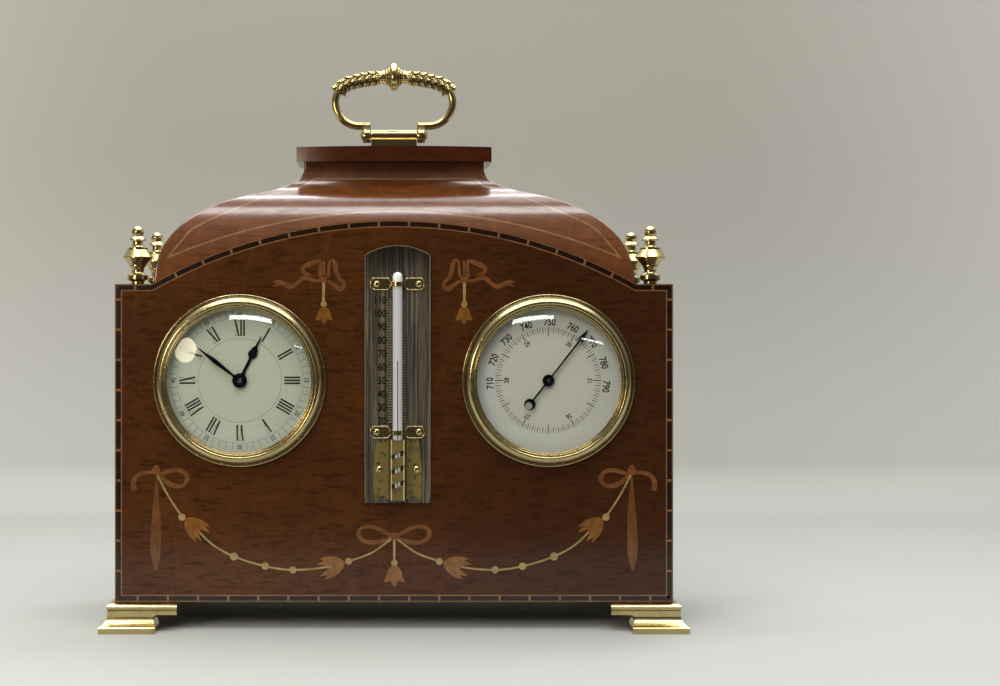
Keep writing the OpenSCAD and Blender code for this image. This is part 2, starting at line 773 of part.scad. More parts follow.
// A dial with a hole for its hands, held off the plate behind it by two feet
module dial(x, hole, foot_l) color("ivory") {
    on_front(x, dial_z) {
        difference() {
            translate([0, 0, -dial_back]) cylinder(r = dial_r, h = dial_t, $fn = fine / 4);
            translate([0, 0, -dial_back - over]) cylinder(r = hole, h = dial_t + 2 * over);
        }
        for (a = [0, 180])
            rotate([0, 0, a]) translate([dial_r * pillar_share, 0, -dial_back - foot_l])
                cylinder(r = pillar_r / 2, h = foot_l + run);
    }
}

// An open drum behind the board, back to the given depth
module drum(x, length) {
    on_front(x, dial_z) difference() {
        translate([0, 0, -length]) cylinder(r = drum_r, h = length, $fn = fine / 4);
        translate([0, 0, -length - over]) cylinder(r = drum_in, h = length + 2 * over, $fn = fine / 4);
    }
}

module clock_bezel() bezel(-dial_x);
module barometer_bezel() bezel(dial_x);
module clock_glass() glass(-dial_x);
module barometer_glass() glass(dial_x);
module clock_dial() dial(-dial_x, hour_pipe_r + run, motion_gap);
module barometer_dial() dial(dial_x, needle_r + run, motion_gap);
module clock_drum() color("goldenrod") drum(-dial_x, clock_drum_l);

// Rings that grip the drums behind the front board
module retaining_rings() color("goldenrod") {
    for (side = [-1, 1])
        on_front(side * dial_x, dial_z) difference() {
            translate([0, 0, -board_t - ring_t]) cylinder(r = drum_r + ring_t, h = ring_t);
            translate([0, 0, -board_t - ring_t - over]) cylinder(r = drum_r + run, h = ring_t + 2 * over);
        }
}

// A place in the clock, by its distance and angle from the centre and its depth
module in_clock(dist, angle, depth) {
    on_front(-dial_x, dial_z) rotate([0, 0, angle]) translate([dist, 0, -depth]) children();
}

module clock_back_cover() color("goldenrod") {
    difference() {
        union() {
            in_clock(0, 0, cover_in) cylinder(r = drum_r, h = cover_t, $fn = fine / 4);
            in_clock(0, 0, clock_drum_l) cylinder(r = drum_in - run, h = cover_t, $fn = fine / 4);
        }
        in_clock(0, 0, cover_in + over) cylinder(r = arbor_r + space, h = 2 * cover_t + 2 * over);
        in_clock(barrel_dist, -90, cover_in + over) cylinder(r = key_r + space, h = 2 * cover_t + 2 * over);
    }
}

module movement_front_plate() color("gold") {
    difference() {
        in_clock(0, 0, plate_in + mov_t) cylinder(r = drum_in - run, h = mov_t, $fn = fine / 4);
        arbor_holes(plate_in + mov_t);
    }
    in_clock(motion_dist, wheel_deg, plate_in + mov_t / 2)
        cylinder(r = arbor_r, h = mov_t / 2 + motion_gap * stud_share);
}

module movement_back_plate() color("gold") {
    difference() {
        in_clock(0, 0, back_plate_in + mov_t) cylinder(r = mov_r, h = mov_t, $fn = fine / 4);
        arbor_holes(back_plate_in + mov_t);
    }
}

// Holes through a plate for the centre arbor and the barrel's arbor
module arbor_holes(depth) {
    in_clock(0, 0, depth + over) cylinder(r = arbor_r + run, h = mov_t + 2 * over);
    in_clock(barrel_dist, -90, depth + over) cylinder(r = pillar_r + run, h = mov_t + 2 * over);
}

module movement_pillars() color("goldenrod") {
    for (a = pillar_deg)
        in_clock(mov_r * pillar_share, a, back_plate_in) {
            cylinder(r = pillar_r, h = plate_gap);
            translate([0, 0, plate_gap * (1 - pillar_collar_l_share) / 2])
                cylinder(r = pillar_r * pillar_collar_share, h = plate_gap * pillar_collar_l_share);
        }
}

// A toothed wheel in outline, with a tooth on its own X axis
module gear(teeth, mod) {
    r = teeth * mod / 2;
    step = 360 / teeth;
    radii = [r - root_share * mod, r, r + tip_share * mod];
    polygon([for (i = [0:teeth - 1], side = [-1, 1], k = [0:2])
        let (j = side < 0 ? k : 2 - k, a = i * step + side * tooth_shares[j] * step)
            [radii[j] * cos(a), radii[j] * sin(a)]]);
}

// A wheel with a round hole and crossings cut through its web
module wheel(teeth, mod, hole, height) {
    rim = teeth * mod / 2 - wheel_rim_mods * mod;
    hub = hole + wheel_hub_mods * mod;
    difference() {
        linear_extrude(height) difference() {
            gear(teeth, mod);
            if (rim - hub > wheel_web_mods * mod)
                for (a = [0:90:270])
                    rotate([0, 0, a + 45]) intersection() {
                        difference() {
                            circle(rim);
                            circle(hub);
                        }
                        translate([mod, mod]) square([rim, rim]);
                    }
        }
        translate([0, 0, -over]) cylinder(r = hole, h = height + 2 * over);
    }
}

// The mainspring's barrel, with its teeth on the front and a running fit on its arbor
module spring_barrel() color("gold") {
    height = plate_gap * barrel_h_share;
    in_clock(barrel_dist, -90, back_plate_in - space) difference() {
        union() {
            cylinder(r = barrel_r_in, h = height);
            translate([0, 0, height - wheel_t]) rotate([0, 0, 180 + 180 / barrel_teeth])
                linear_extrude(wheel_t) gear(barrel_teeth, train_mod);
        }
        translate([0, 0, -over]) cylinder(r = pillar_r + run, h = height + 2 * over);
    }
}

module winding_arbor() color("silver") {
    in_clock(barrel_dist, -90, cover_in) cylinder(r = pillar_r, h = cover_in - plate_in);
    in_clock(barrel_dist, -90, cover_in + square_l)
        translate([-square_w / 2, -square_w / 2, 0]) cube([square_w, square_w, square_l]);
}

module winding_key() color("gold") {
    in_clock(barrel_dist, -90, key_in + key_l) {
        difference() {
            union() {
                cylinder(r = key_r, h = key_l);
                for (sign = [-1, 1])
                    translate([0, sign * key_r * key_wing_share, key_r]) rotate([0, 90, 0])
                        translate([0, 0, -key_r / 2]) cylinder(r = key_r * key_wing_share, h = key_r);
            }
            translate([-square_w / 2 - run, -square_w / 2 - run, key_l - square_l])
                cube([square_w + 2 * run, square_w + 2 * run, square_l + over]);
        }
    }
}

// One straight arbor carries the minute hand in front and the set knob behind
module centre_arbor() color("silver") {
    in_clock(0, 0, cover_in + space + set_knob_l) cylinder(r = arbor_r,
        h = cover_in + space + set_knob_l + minute_hand_up + hand_t + hand_gap);
    in_clock(0, 0, back_plate_in - space) rotate([0, 0, -90])
        linear_extrude(plate_gap - 2 * space) gear(centre_teeth, train_mod);
}

module set_knob() color("gold") {
    in_clock(0, 0, cover_in + space + set_knob_l) difference() {
        linear_extrude(set_knob_l) gear(hour_teeth, set_knob_r * 2 / hour_teeth);
        translate([0, 0, -over]) cylinder(r = arbor_r + run, h = set_knob_l + 2 * over);
    }
}

module cannon_pinion() color("silver") {
    in_clock(0, 0, plate_in - space) difference() {
        union() {
            rotate([0, 0, wheel_deg]) linear_extrude(motion_gap * pinion_l_share)
                gear(cannon_teeth, gear_mod);
            cylinder(r = cannon_r, h = plate_in - space + minute_hand_up);
        }
        translate([0, 0, -over]) cylinder(r = arbor_r + run, h = 2 * plate_in);
    }
}

module minute_wheel() color("gold") {
    in_clock(motion_dist, wheel_deg, plate_in - space) {
        rotate([0, 0, 180 + 180 / minute_teeth]) wheel(minute_teeth, gear_mod, arbor_r + run, wheel_t);
        translate([0, 0, wheel_t]) rotate([0, 0, 180])
            wheel(pinion_teeth, hour_mod, arbor_r + run, 2 * wheel_t);
    }
}

module hour_wheel() color("gold") {
    hour_in = plate_in - space - 2 * wheel_t;
    in_clock(0, 0, hour_in) {
        rotate([0, 0, wheel_deg + 180 / hour_teeth]) wheel(hour_teeth, hour_mod, cannon_r + run, wheel_t);
        difference() {
            cylinder(r = hour_pipe_r, h = hour_in + hour_hand_up);
            translate([0, 0, -over]) cylinder(r = cannon_r + run, h = 2 * hour_in);
        }
    }
}

// A hand's outline, pointing up: a hub, a slim blade and what swells it
module hand(length, hub, blade_shares) {
    edge = sized(blade_shares, length, length);
    circle(hub);
    polygon(concat(edge, [for (i = [len(edge) - 1:-1:0]) [-edge[i][0], edge[i][1]]]));
}

module minute_hand() color("midnightblue") {
    on_front(-dial_x, dial_z) rotate([0, 0, -minute_deg]) translate([0, 0, minute_hand_up]) difference() {
        linear_extrude(hand_t) hand(minute_l, minute_l * hub_share, minute_shares);
        translate([0, 0, -over]) cylinder(r = arbor_r + run, h = hand_t + 2 * over);
    }
}

module hour_hand() color("midnightblue") {
    on_front(-dial_x, dial_z) rotate([0, 0, -hour_deg]) translate([0, 0, hour_hand_up]) difference() {
        linear_extrude(hand_t) union() {
            hand(hour_l, minute_l * hub_share, hour_shares);
            translate([0, hour_l * hour_disc_share]) circle(hour_l * hour_disc_r_share);
        }
        translate([0, 0, -over]) cylinder(r = cannon_r + run, h = hand_t + 2 * over);
    }
}

// A place in the barometer, by its offset to the right and its depth
module in_barometer(right, depth) {
    on_front(dial_x, dial_z) translate([right, 0, -depth]) children();
}

module barometer_drum() color("goldenrod") {
    drum(dial_x, baro_drum_l);
    in_barometer(0, baro_drum_l) cylinder(r = drum_r, h = cover_t, $fn = fine / 4);
}

// The plate that carries the needle's arbor and the dial's feet
module barometer_bridge() color("gold") {
    in_barometer(0, bridge_in + mov_t) difference() {
        intersection() {
            cylinder(r = drum_in - run, h = mov_t, $fn = fine / 4);
            translate([-drum_r, -capsule_r / 2, 0]) cube([2 * drum_r, capsule_r, mov_t]);
        }
        translate([0, 0, -over]) cylinder(r = needle_r + run, h = mov_t + 2 * over);
    }
}

// The aneroid capsule: a flat tin with ring-shaped ribs, on a post at the drum's back
module aneroid_capsule() color("silver") {
    height = capsule_r * capsule_h_share;
    rib = capsule_r / (2 * capsule_ribs);
    in_barometer(0, baro_drum_l - cover_t) rotate_extrude() difference() {
        union() {
            square([capsule_r, height]);
            for (i = [1:capsule_ribs - 1]) translate([2 * i * rib, height]) circle(rib / 2, $fn = 24);
            translate([0, height]) square([rib, height / 2]);
        }
        for (i = [1:capsule_ribs - 1]) translate([(2 * i + 1) * rib, height])
                circle(rib * capsule_groove_share, $fn = 24);
    }
}

// The strong leaf spring that bridges the capsule and pulls its lid
module capsule_spring() color("dimgray") {
    low = baro_drum_l - cover_t;
    high = low - capsule_r * capsule_h_share * spring_up_share;
    width = capsule_r * spring_w_share;
    foot_at = capsule_r + 2 * mov_t;
    in_barometer(0, low) for (sign = [-1, 1])
        translate([sign * foot_at - mov_t, -width / 2, 0]) cube([2 * mov_t, width, low - high]);
    in_barometer(0, high) translate([-foot_at - mov_t, -width / 2, 0])
        cube([2 * foot_at + 2 * mov_t, width, mov_t]);
}

module needle_arbor() color("silver") {
    in_barometer(0, bridge_in + 2 * mov_t) {
        cylinder(r = needle_r, h = bridge_in + 2 * mov_t + minute_hand_up + 2 * hand_t);
        cylinder(r = 3 * needle_r, h = mov_t - space);
    }
}

// The needle: a barbed tip, a slim stem and an open crescent on its tail
module barometer_needle() color("midnightblue") {
    ring_r = tail_l * tail_ring_share;
    in_barometer(0, -minute_hand_up) rotate([0, 0, -needle_deg]) difference() {
        linear_extrude(hand_t) difference() {
            union() {
                hand(needle_l, needle_l * needle_hub_share, needle_shares);
                translate([0, ring_r - tail_l]) circle(ring_r);
                translate([-hand_t, ring_r - tail_l]) square([2 * hand_t, tail_l - ring_r]);
            }
            translate([0, ring_r * tail_hole_up_share - tail_l]) circle(ring_r * tail_hole_share);
        }
        translate([0, 0, -over]) cylinder(r = needle_r + run, h = hand_t + 2 * over);
    }
}

// The scale plate's outline: straight sides under a low arch
module scale_face() {
    translate([-scale_w / 2, scale_z]) square([scale_w, scale_h - scale_rise]);
    translate([0, scale_z + scale_h - scale_r]) intersection() {
        circle(scale_r, $fn = fine);
        translate([-scale_w / 2, 0]) square([scale_w, scale_r]);
    }
}

// Places of the thermometer's screws: two on each clip and two on the guard plate
module thermometer_screw_places() {
    for (z = clip_places, sign = [-1, 1])
        on_front(thermo_x + sign * clip_w * clip_screw_share, z) children();
    for (sign = [-1, 1])
        on_front(thermo_x + sign * guard_w * guard_screw_share, guard_z + guard_h / 2) children();
}

module scale_plate() color("dimgray") {
    difference() {
        translate([thermo_x, 0, 0]) along(front_y - scale_t, scale_t) scale_face();
        on_front(thermo_x, 0) translate([-bulb_r - space, guard_z, -over])
            cube([2 * (bulb_r + space), guard_h, scale_t + 2 * over]);
        thermometer_screw_places() translate([0, 0, -over])
            cylinder(r = screw_r + run, h = scale_t + 2 * over);
    }
}

// The glass tube with its round top and, behind the guard, its bulb
module glass_outline(tube, bulb, top, bulb_low, bulb_top) {
    translate([0, bulb_low + bulb]) square([bulb, bulb_top - bulb_low - 2 * bulb]);
    for (z = [bulb_low + bulb, bulb_top - bulb])
        intersection() {
            translate([0, z]) circle(bulb);
            translate([0, bulb_low]) square([bulb, bulb_top - bulb_low]);
        }
    translate([0, bulb_top - bulb]) square([tube, top - tube - bulb_top + bulb]);
    intersection() {
        translate([0, top - tube]) circle(tube);
        translate([0, top - 2 * tube]) square([tube, 2 * tube]);
    }
}

module thermometer_tube() color("aliceblue") {
    translate([thermo_x, front_y - tube_h, 0]) rotate_extrude() difference() {
        glass_outline(tube_r, bulb_r, tube_top, bulb_low, bulb_top);
        glass_outline(bore_r, bulb_r - bulb_wall, tube_top - tube_r, bulb_low + bulb_wall,
            bulb_top - bulb_wall);
    }
}

module thermometer_liquid() color("silver") {
    in = bulb_wall + run;
    translate([thermo_x, front_y - tube_h, 0]) rotate_extrude()
        glass_outline(bore_r - run, bulb_r - in, foot_h + liquid_up, bulb_low + in, bulb_top - in);
}

// A clip from the front: a lobe with cut corners on each side of a narrow strap
module clip_face() {
    lobe_w = clip_w / 2 - clip_outer_r;
    square([clip_w - lobe_w, clip_h * clip_waist_share], center = true);
    for (sign = [-1, 1])
        translate([sign * (clip_w - lobe_w) / 2, 0]) intersection() {
            square([lobe_w, clip_h], center = true);
            rotate(45) square((lobe_w + clip_h) / sqrt(2) * clip_corner_share, center = true);
        }
}

// A strip that lies on the plate and bows over the tube
module tube_clip() {
    intersection() {
        translate([0, 0, -clip_h / 2]) linear_extrude(clip_h) difference() {
            union() {
                translate([-clip_w / 2, scale_t]) square([clip_w, clip_t]);
                translate([-clip_outer_r, scale_t]) square([2 * clip_outer_r, tube_h - scale_t]);
                translate([0, tube_h]) circle(clip_outer_r);
            }
            translate([0, tube_h]) circle(clip_inner_r);
            translate([-clip_inner_r, 0]) square([2 * clip_inner_r, tube_h]);
        }
        rotate([-90, 0, 0]) linear_extrude(2 * clip_w, center = true) clip_face();
    }
}

module tube_clips() color("gold") {
    difference() {
        for (z = clip_places)
            translate([thermo_x, front_y, z]) mirror([0, 1, 0]) tube_clip();
        thermometer_screw_places() cylinder(r = screw_r + run, h = scale_t + clip_t + over);
    }
}

// The plate round the bulb: it narrows to the top, with two round notches in each end
module guard_plate() color("gold") {
    side = sized(guard_shares, guard_w, guard_h);
    difference() {
        on_front(thermo_x, guard_z) translate([0, 0, scale_t]) linear_extrude(clip_t) difference() {
            polygon(concat(side, [for (i = [len(side) - 1:-1:0]) [-side[i][0], side[i][1]]]));
            for (sign = [-1, 1], z = [0, guard_h])
                translate([sign * guard_w * notch_share, z]) circle(notch_r, $fn = 32);
            translate([-bulb_r - space, -over]) square([2 * (bulb_r + space), guard_h + 2 * over]);
        }
        thermometer_screw_places() cylinder(r = screw_r + run, h = scale_t + clip_t + over);
    }
}

// The bulb's own guard: a box open at the back, with slanting slots in its front
module bulb_guard() color("gold") {
    wall = (bulb_guard_w - 2 * bulb_r - 4 * run) / 2;
    on_front(thermo_x, guard_z) difference() {
        translate([-bulb_guard_w / 2, 0, scale_t + clip_t])
            cube([bulb_guard_w, guard_h, guard_out - scale_t - clip_t]);
        translate([wall - bulb_guard_w / 2, wall, 0])
            cube([bulb_guard_w - 2 * wall, guard_h, guard_out - wall]);
        for (share = slot_up_shares)
            translate([0, guard_h * share, guard_out]) rotate([0, 0, slot_deg])
                cube([bulb_guard_w * slot_w_share, slot_h, 4 * wall], center = true);
    }
}

module thermometer_screws() color("darkgoldenrod") {
    thermometer_screw_places() {
        translate([0, 0, run - screw_l]) cylinder(r = screw_r, h = screw_l + scale_t + clip_t - run);
        difference() {
            intersection() {
                translate([0, 0, scale_t + clip_t]) cylinder(r = screw_head_r, h = screw_head_t);
                translate([0, 0, scale_t + clip_t + screw_head_t - screw_head_r * screw_dome_share])
                    sphere(screw_head_r * screw_dome_share);
            }
            translate([0, 0, scale_t + clip_t + screw_head_t]) rotate(screw_slot_deg)
                cube([2 * screw_head_r, screw_slot_w, 2 * screw_slot_in], center = true);
        }
    }
}

front_board();
back_board();
left_side();
right_side();
base_board();
top_board();
caddy_top();
top_slab();
back_door();
frame_hinges();
door_hinges();
hinge_pins();
door_knob();
foot_front_left();
foot_front_right();
foot_rear_left();
foot_rear_right();
foot_screws();
finial_front_left();
finial_front_right();
finial_rear_left();
finial_rear_right();
handle_plate();
bail_handle();
handle_pivots();
clock_bezel();
clock_glass();
clock_dial();
clock_drum();
clock_back_cover();
movement_front_plate();
movement_back_plate();
movement_pillars();
spring_barrel();
winding_arbor();
winding_key();
centre_arbor();
cannon_pinion();
minute_wheel();
hour_wheel();
minute_hand();
hour_hand();
set_knob();
barometer_bezel();
barometer_glass();
barometer_dial();
barometer_drum();
barometer_bridge();
aneroid_capsule();
capsule_spring();
needle_arbor();
barometer_needle();
retaining_rings();
scale_plate();
thermometer_tube();
thermometer_liquid();
tube_clips();
guard_plate();
bulb_guard();
thermometer_screws();
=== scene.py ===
# Looks for a desk compendium: an inlaid mahogany case with a clock, a thermometer and a barometer.
import json
import math
import bmesh
import bpy
import numpy as np
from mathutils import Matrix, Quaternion, Vector

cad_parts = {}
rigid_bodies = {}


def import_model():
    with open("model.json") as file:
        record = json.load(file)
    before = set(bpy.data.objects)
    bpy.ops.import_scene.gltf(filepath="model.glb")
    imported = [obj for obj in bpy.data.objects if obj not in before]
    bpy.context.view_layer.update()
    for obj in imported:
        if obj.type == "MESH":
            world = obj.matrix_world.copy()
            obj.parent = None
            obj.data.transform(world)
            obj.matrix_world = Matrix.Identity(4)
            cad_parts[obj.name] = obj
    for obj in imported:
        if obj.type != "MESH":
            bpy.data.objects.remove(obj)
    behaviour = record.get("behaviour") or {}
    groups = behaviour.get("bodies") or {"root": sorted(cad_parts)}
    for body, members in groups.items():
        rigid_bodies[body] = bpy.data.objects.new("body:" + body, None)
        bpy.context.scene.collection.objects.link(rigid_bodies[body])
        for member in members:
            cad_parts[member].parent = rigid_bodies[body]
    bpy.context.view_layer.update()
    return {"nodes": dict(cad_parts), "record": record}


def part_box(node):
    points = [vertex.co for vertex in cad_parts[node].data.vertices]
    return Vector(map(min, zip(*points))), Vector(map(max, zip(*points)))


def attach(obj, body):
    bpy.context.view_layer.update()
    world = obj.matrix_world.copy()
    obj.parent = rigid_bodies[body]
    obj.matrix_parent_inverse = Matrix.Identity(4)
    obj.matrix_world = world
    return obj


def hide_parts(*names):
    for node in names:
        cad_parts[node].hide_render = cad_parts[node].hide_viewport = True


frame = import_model()
nodes = frame["nodes"]
mm = 0.001
print("frame loaded:", len(nodes), "nodes")

# The camera stands square in front of the case; its shift puts the case left of the middle.
camera = {
    "place": (0.0, -658 * mm, 124.5 * mm),
    "lens": 57.6,
    "sensor": 36.0,
    "shiftRight": 0.106,
    "shiftUp": -0.033,
}

# Lamps: where each one hangs, what it looks at, its size in metres and its power in watts; white where no
# colour is given. The soft ones light without a shine of their own, the ceiling panel is only seen in the
# shine, and the far tubes reach only the pieces whose names end in Dome.
lamps = {
    "ceilingPanel": {"place": (0.10, 0.45, 1.25), "aim": (0, 0.1, 0), "size": (2.0, 1.3), "watts": 24.0,
                     "light": False},
    "ceilingTube": {"place": (-0.06, 0.12, 1.05), "aim": (0, 0, 0.16), "size": (1.1, 0.1), "watts": 5.5},
    "frontStrip": {"place": (0.05, -0.55, 1.2), "aim": (0, 0, 0.1), "size": (1.3, 0.26), "watts": 9.5},
    "topSoft": {"place": (0.10, 0.3, 1.25), "aim": (0, 0.1, 0), "size": (2.0, 1.3), "watts": 5.5,
                "shine": False},
    "frontSoft": {"place": (-0.4, -1.5, 1.15), "aim": (0, 0, 0.1), "size": (1.6, 0.9), "watts": 20.5,
                  "colour": "#FFFDF8", "shine": False},
    "farTube": {"place": (-0.05, -2.3, 1.28), "aim": (0, 0, 0.1), "size": (0.9, 0.16), "watts": 10.0,
                "only": "Dome"},
    "farTubeRight": {"place": (1.0, -2.0, 0.66), "aim": (0, 0, 0.1), "size": (0.5, 0.04), "watts": 1.2,
                     "only": "Dome"},
    "sideLamp": {"place": (-0.3, -0.4, 0.193), "aim": (-0.06, 0, 0.1), "size": (0.16, 0.09), "watts": 0.5,
                 "colour": "#FFF0D0", "roll": -29, "shape": "ELLIPSE"},
}

# The room's own light: dark behind the camera, pale beyond the paper and overhead
roomLight = {
    "dark": "#4A4741",
    "pale": "#F6F7F4",
    "base": 0.25,
    "growsBack": 0.35,
    "growsUp": 0.65,
    "power": 1.5,
    "strength": 0.85,
}

# The paper that the case stands on: a floor that runs back to a wall, with a dim joint between them.
# The fades are where one tone gives way to the next: up the wall, out to its sides and back along the floor.
# The wall's darker top and paler sides are painted shade and light.
paper = {
    "front": -0.24,
    "bend": 0.31,
    "bendRadius": 0.03,
    "top": 0.36,
    "halfWidth": 1.6,
    "floorColour": "#A4A5A2",
    "floorFar": "#A4A5A1",
    "floorFade": (0.02, 0.3),
    "wallLow": "#B5B6B0",
    "wallHigh": "#99978E",
    "wallFade": (-0.02, 0.24),
    "wallSide": "#CECDC4",
    "sideMiddle": 0.02,
    "sideFade": (0.14, 0.5),
    "sideShare": 0.6,
}

# Every finish, by the name of its CAD slot or of the pieces that wear it
finishes = {}


def linear(code):
    # sRGB hex to linear: c / 12.92 below 0.04045, else ((c + 0.055) / 1.055) to the power 2.4
    c = np.array([int(code[i:i + 2], 16) for i in (1, 3, 5)]) / 255
    return tuple(np.where(c < 0.04045, c / 12.92, ((c + 0.055) / 1.055) ** 2.4))


class Flow:
    # A shader socket that takes part in a Python sum; each operator adds its Math node.
    def __init__(self, finish, socket):
        self.finish, self.socket = finish, socket

    def maths(self, operation, *values):
        return self.finish.maths(operation, *values)

    def __add__(self, other):
        return self.maths("ADD", self, other)

    def __sub__(self, other):
        return self.maths("SUBTRACT", self, other)

    def __rsub__(self, other):
        return self.maths("SUBTRACT", other, self)

    def __mul__(self, other):
        return self.maths("MULTIPLY", self, other)

    def __pow__(self, other):
        return self.maths("POWER", self, other)

    __radd__ = __add__
    __rmul__ = __mul__

    def clamped(self):
        return self.maths("MAXIMUM", self.maths("MINIMUM", self, 1.0), 0.0)


class Finish:
    # One material: node() adds a node with its settings and inputs and gives back an output. A colour is a
    # hex code or a socket.
    def __init__(self, name, tree=None):
        if tree is None:
            self.material = bpy.data.materials.new(name)
            self.material.use_nodes = True
            tree = self.material.node_tree
        self.tree = tree
        self.tree.nodes.clear()

    def node(self, kind, settings=None, inputs=None, output=0):
        made = self.tree.nodes.new(kind)
        for key, value in (settings or {}).items():
            setattr(made, key, value)
        for key, value in (inputs or {}).items():
            if isinstance(value, Flow):
                self.tree.links.new(value.socket, made.inputs[key])
            else:
                made.inputs[key].default_value = (*linear(value), 1.0) if isinstance(value, str) else value
        return Flow(self, made.outputs[output]) if made.outputs else None

    def maths(self, operation, *values):
        return self.node("ShaderNodeMath", {"operation": operation}, dict(enumerate(values)))

    def here(self, kind="Object"):
        return self.node("ShaderNodeTexCoord", output=kind)

    def axes(self, where=None):
        # The three numbers of a place, which is the object's own coordinates where none is given
        split = self.node("ShaderNodeSeparateXYZ", {}, {0: where or self.here()}).socket.node
        return [Flow(self, socket) for socket in split.outputs]

    def noise(self, scale, detail, rough, twist=0.0, turn=(0, 0, 0), drawn=(1, 1, 1)):
        # Noise at a scale per metre; along an axis where drawn is below 1 it is drawn out
        where = self.node("ShaderNodeMapping", {}, {"Vector": self.here(), "Rotation": turn, "Scale": drawn})
        return self.node("ShaderNodeTexNoise", {}, {"Vector": where, "Scale": scale, "Detail": detail,
                                                    "Roughness": rough, "Distortion": twist})

    def band(self, value, low, high):
        # 0 below low, 1 above high, and a smooth step between them
        return self.node("ShaderNodeMapRange", {"interpolation_type": "SMOOTHSTEP"},
                         {"Value": value, "From Min": low, "From Max": high})

    def off(self, value, middle):
        # How far a value is from a middle
        return self.maths("ABSOLUTE", value - middle)

    def mix(self, a, b, share):
        return self.node("ShaderNodeMix", {"data_type": "RGBA"}, {"Factor": share, 6: a, 7: b}, output=2)

    def bump(self, height, depth, strength=1.0, under=None):
        inputs = {"Height": height, "Distance": depth, "Strength": strength}
        if under is not None:
            inputs["Normal"] = under
        return self.node("ShaderNodeBump", {}, inputs)

    def body(self, **sockets):
        return self.node("ShaderNodeBsdfPrincipled", {},
                         {key.replace("_", " "): value for key, value in sockets.items()})

    def surface(self, **sockets):
        return self.show(self.body(**sockets))

    def show(self, shader):
        self.node("ShaderNodeOutputMaterial", {}, {"Surface": shader})
        return self.material


def makeCamera():
    data = bpy.data.cameras.new("camera")
    data.lens, data.sensor_width = camera["lens"], camera["sensor"]
    data.shift_x, data.shift_y = camera["shiftRight"], camera["shiftUp"]
    eye = bpy.data.objects.new("camera", data)
    eye.location = camera["place"]
    eye.rotation_euler = (math.pi / 2, 0, 0)
    bpy.context.scene.collection.objects.link(eye)
    bpy.context.scene.camera = eye
    bpy.context.scene.view_settings.view_transform = "Standard"


def makeLamps():
    for name, lamp in lamps.items():
        data = bpy.data.lights.new(name, "AREA")
        data.shape = lamp.get("shape", "RECTANGLE")
        data.size, data.size_y = lamp["size"]
        data.energy = lamp["watts"]
        data.color = linear(lamp.get("colour", "#FFFFFF"))
        light = bpy.data.objects.new(name, data)
        light.location = lamp["place"]
        aim = Vector(lamp["aim"]) - Vector(lamp["place"])
        face = aim.to_track_quat("-Z", "Y") @ Quaternion((0, 0, 1), math.radians(lamp.get("roll", 0)))
        light.rotation_euler = face.to_euler()
        light.visible_glossy, light.visible_diffuse = lamp.get("shine", True), lamp.get("light", True)
        bpy.context.scene.collection.objects.link(light)


def makeRoom():
    # How pale a way is: base + a share of how far it points back + a share of how far up, to a power
    world = bpy.data.worlds.new("room")
    bpy.context.scene.world = world
    world.use_nodes = True
    room = Finish("room", world.node_tree)
    right, back, up = room.axes(room.here("Generated"))
    level = back * roomLight["growsBack"] + up * roomLight["growsUp"] + roomLight["base"]
    colour = room.mix(roomLight["dark"], roomLight["pale"], level.clamped() ** roomLight["power"])
    glow = room.node("ShaderNodeBackground", {}, {"Color": colour, "Strength": roomLight["strength"]})
    room.node("ShaderNodeOutputWorld", {}, {"Surface": glow})


def spread(*values):
    # Coordinates of different shapes, spread over one grid and put side by side
    return np.stack(np.broadcast_arrays(*values), axis=-1)


def arcRun(middle, radius, start, end, steps):
    # Points at middle + radius (cos a, sin a), for angles from start to end in degrees
    turn = np.radians(np.linspace(start, end, steps))
    return spread(middle[0] + radius * np.cos(turn), middle[1] + radius * np.sin(turn))


def fullTurn(steps):
    # Even angles round a circle in radians; the last stops one step short of the first
    return np.linspace(0, 2 * math.pi, steps + 1)[:-1]


def corners(box):
    # A CAD box's low and high corner in millimetres
    return [np.array(corner) / mm for corner in box]


def middleAndHalf(box):
    # A CAD box's middle and half its size in millimetres
    low, high = corners(box)
    return (low + high) / 2, (high - low) / 2


def gridPart(points, closeV=False, capped=False, closeU=False):
    # points[i, j] is a surface of two parameters; each cell of the grid becomes one face, closeV joins
    # the last column to the first, closeU the last row, and capped fills the first and the last row.
    rows, cols = points.shape[:2]
    i = np.arange(rows if closeU else rows - 1)[:, None]
    j = np.arange(cols if closeV else cols - 1)[None, :]
    i2, j2 = (i + 1) % rows, (j + 1) % cols
    cells = np.stack([i * cols + j, i * cols + j2, i2 * cols + j2, i2 * cols + j], axis=2)
    faces = cells.reshape(-1, 4).tolist()
    if capped:
        faces += [list(range(cols))[::-1], list(range((rows - 1) * cols, rows * cols))]
    return points.reshape(-1, 3), faces


def makePiece(name, parts, finish, sharpAbove=None, onBody=None):
    # The parts one after the other in one mesh: each one's faces count on from the points before it
    starts = np.cumsum([0] + [len(points) for points, faces in parts])
    mesh = bpy.data.meshes.new(name)
    mesh.from_pydata(np.concatenate([points for points, faces in parts]).tolist(), [],
                     [[k + start for k in face]
                      for (points, faces), start in zip(parts, starts) for face in faces])
    mesh.polygons.foreach_set("use_smooth", np.full(len(mesh.polygons), sharpAbove != 0))
    mesh.materials.append(finishes[finish])
    mesh.update()
    if sharpAbove:
        mesh.set_sharp_from_angle(angle=math.radians(sharpAbove))
    piece = bpy.data.objects.new(name, mesh)
    bpy.context.scene.collection.objects.link(piece)
    if onBody:
        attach(piece, onBody)
    return piece


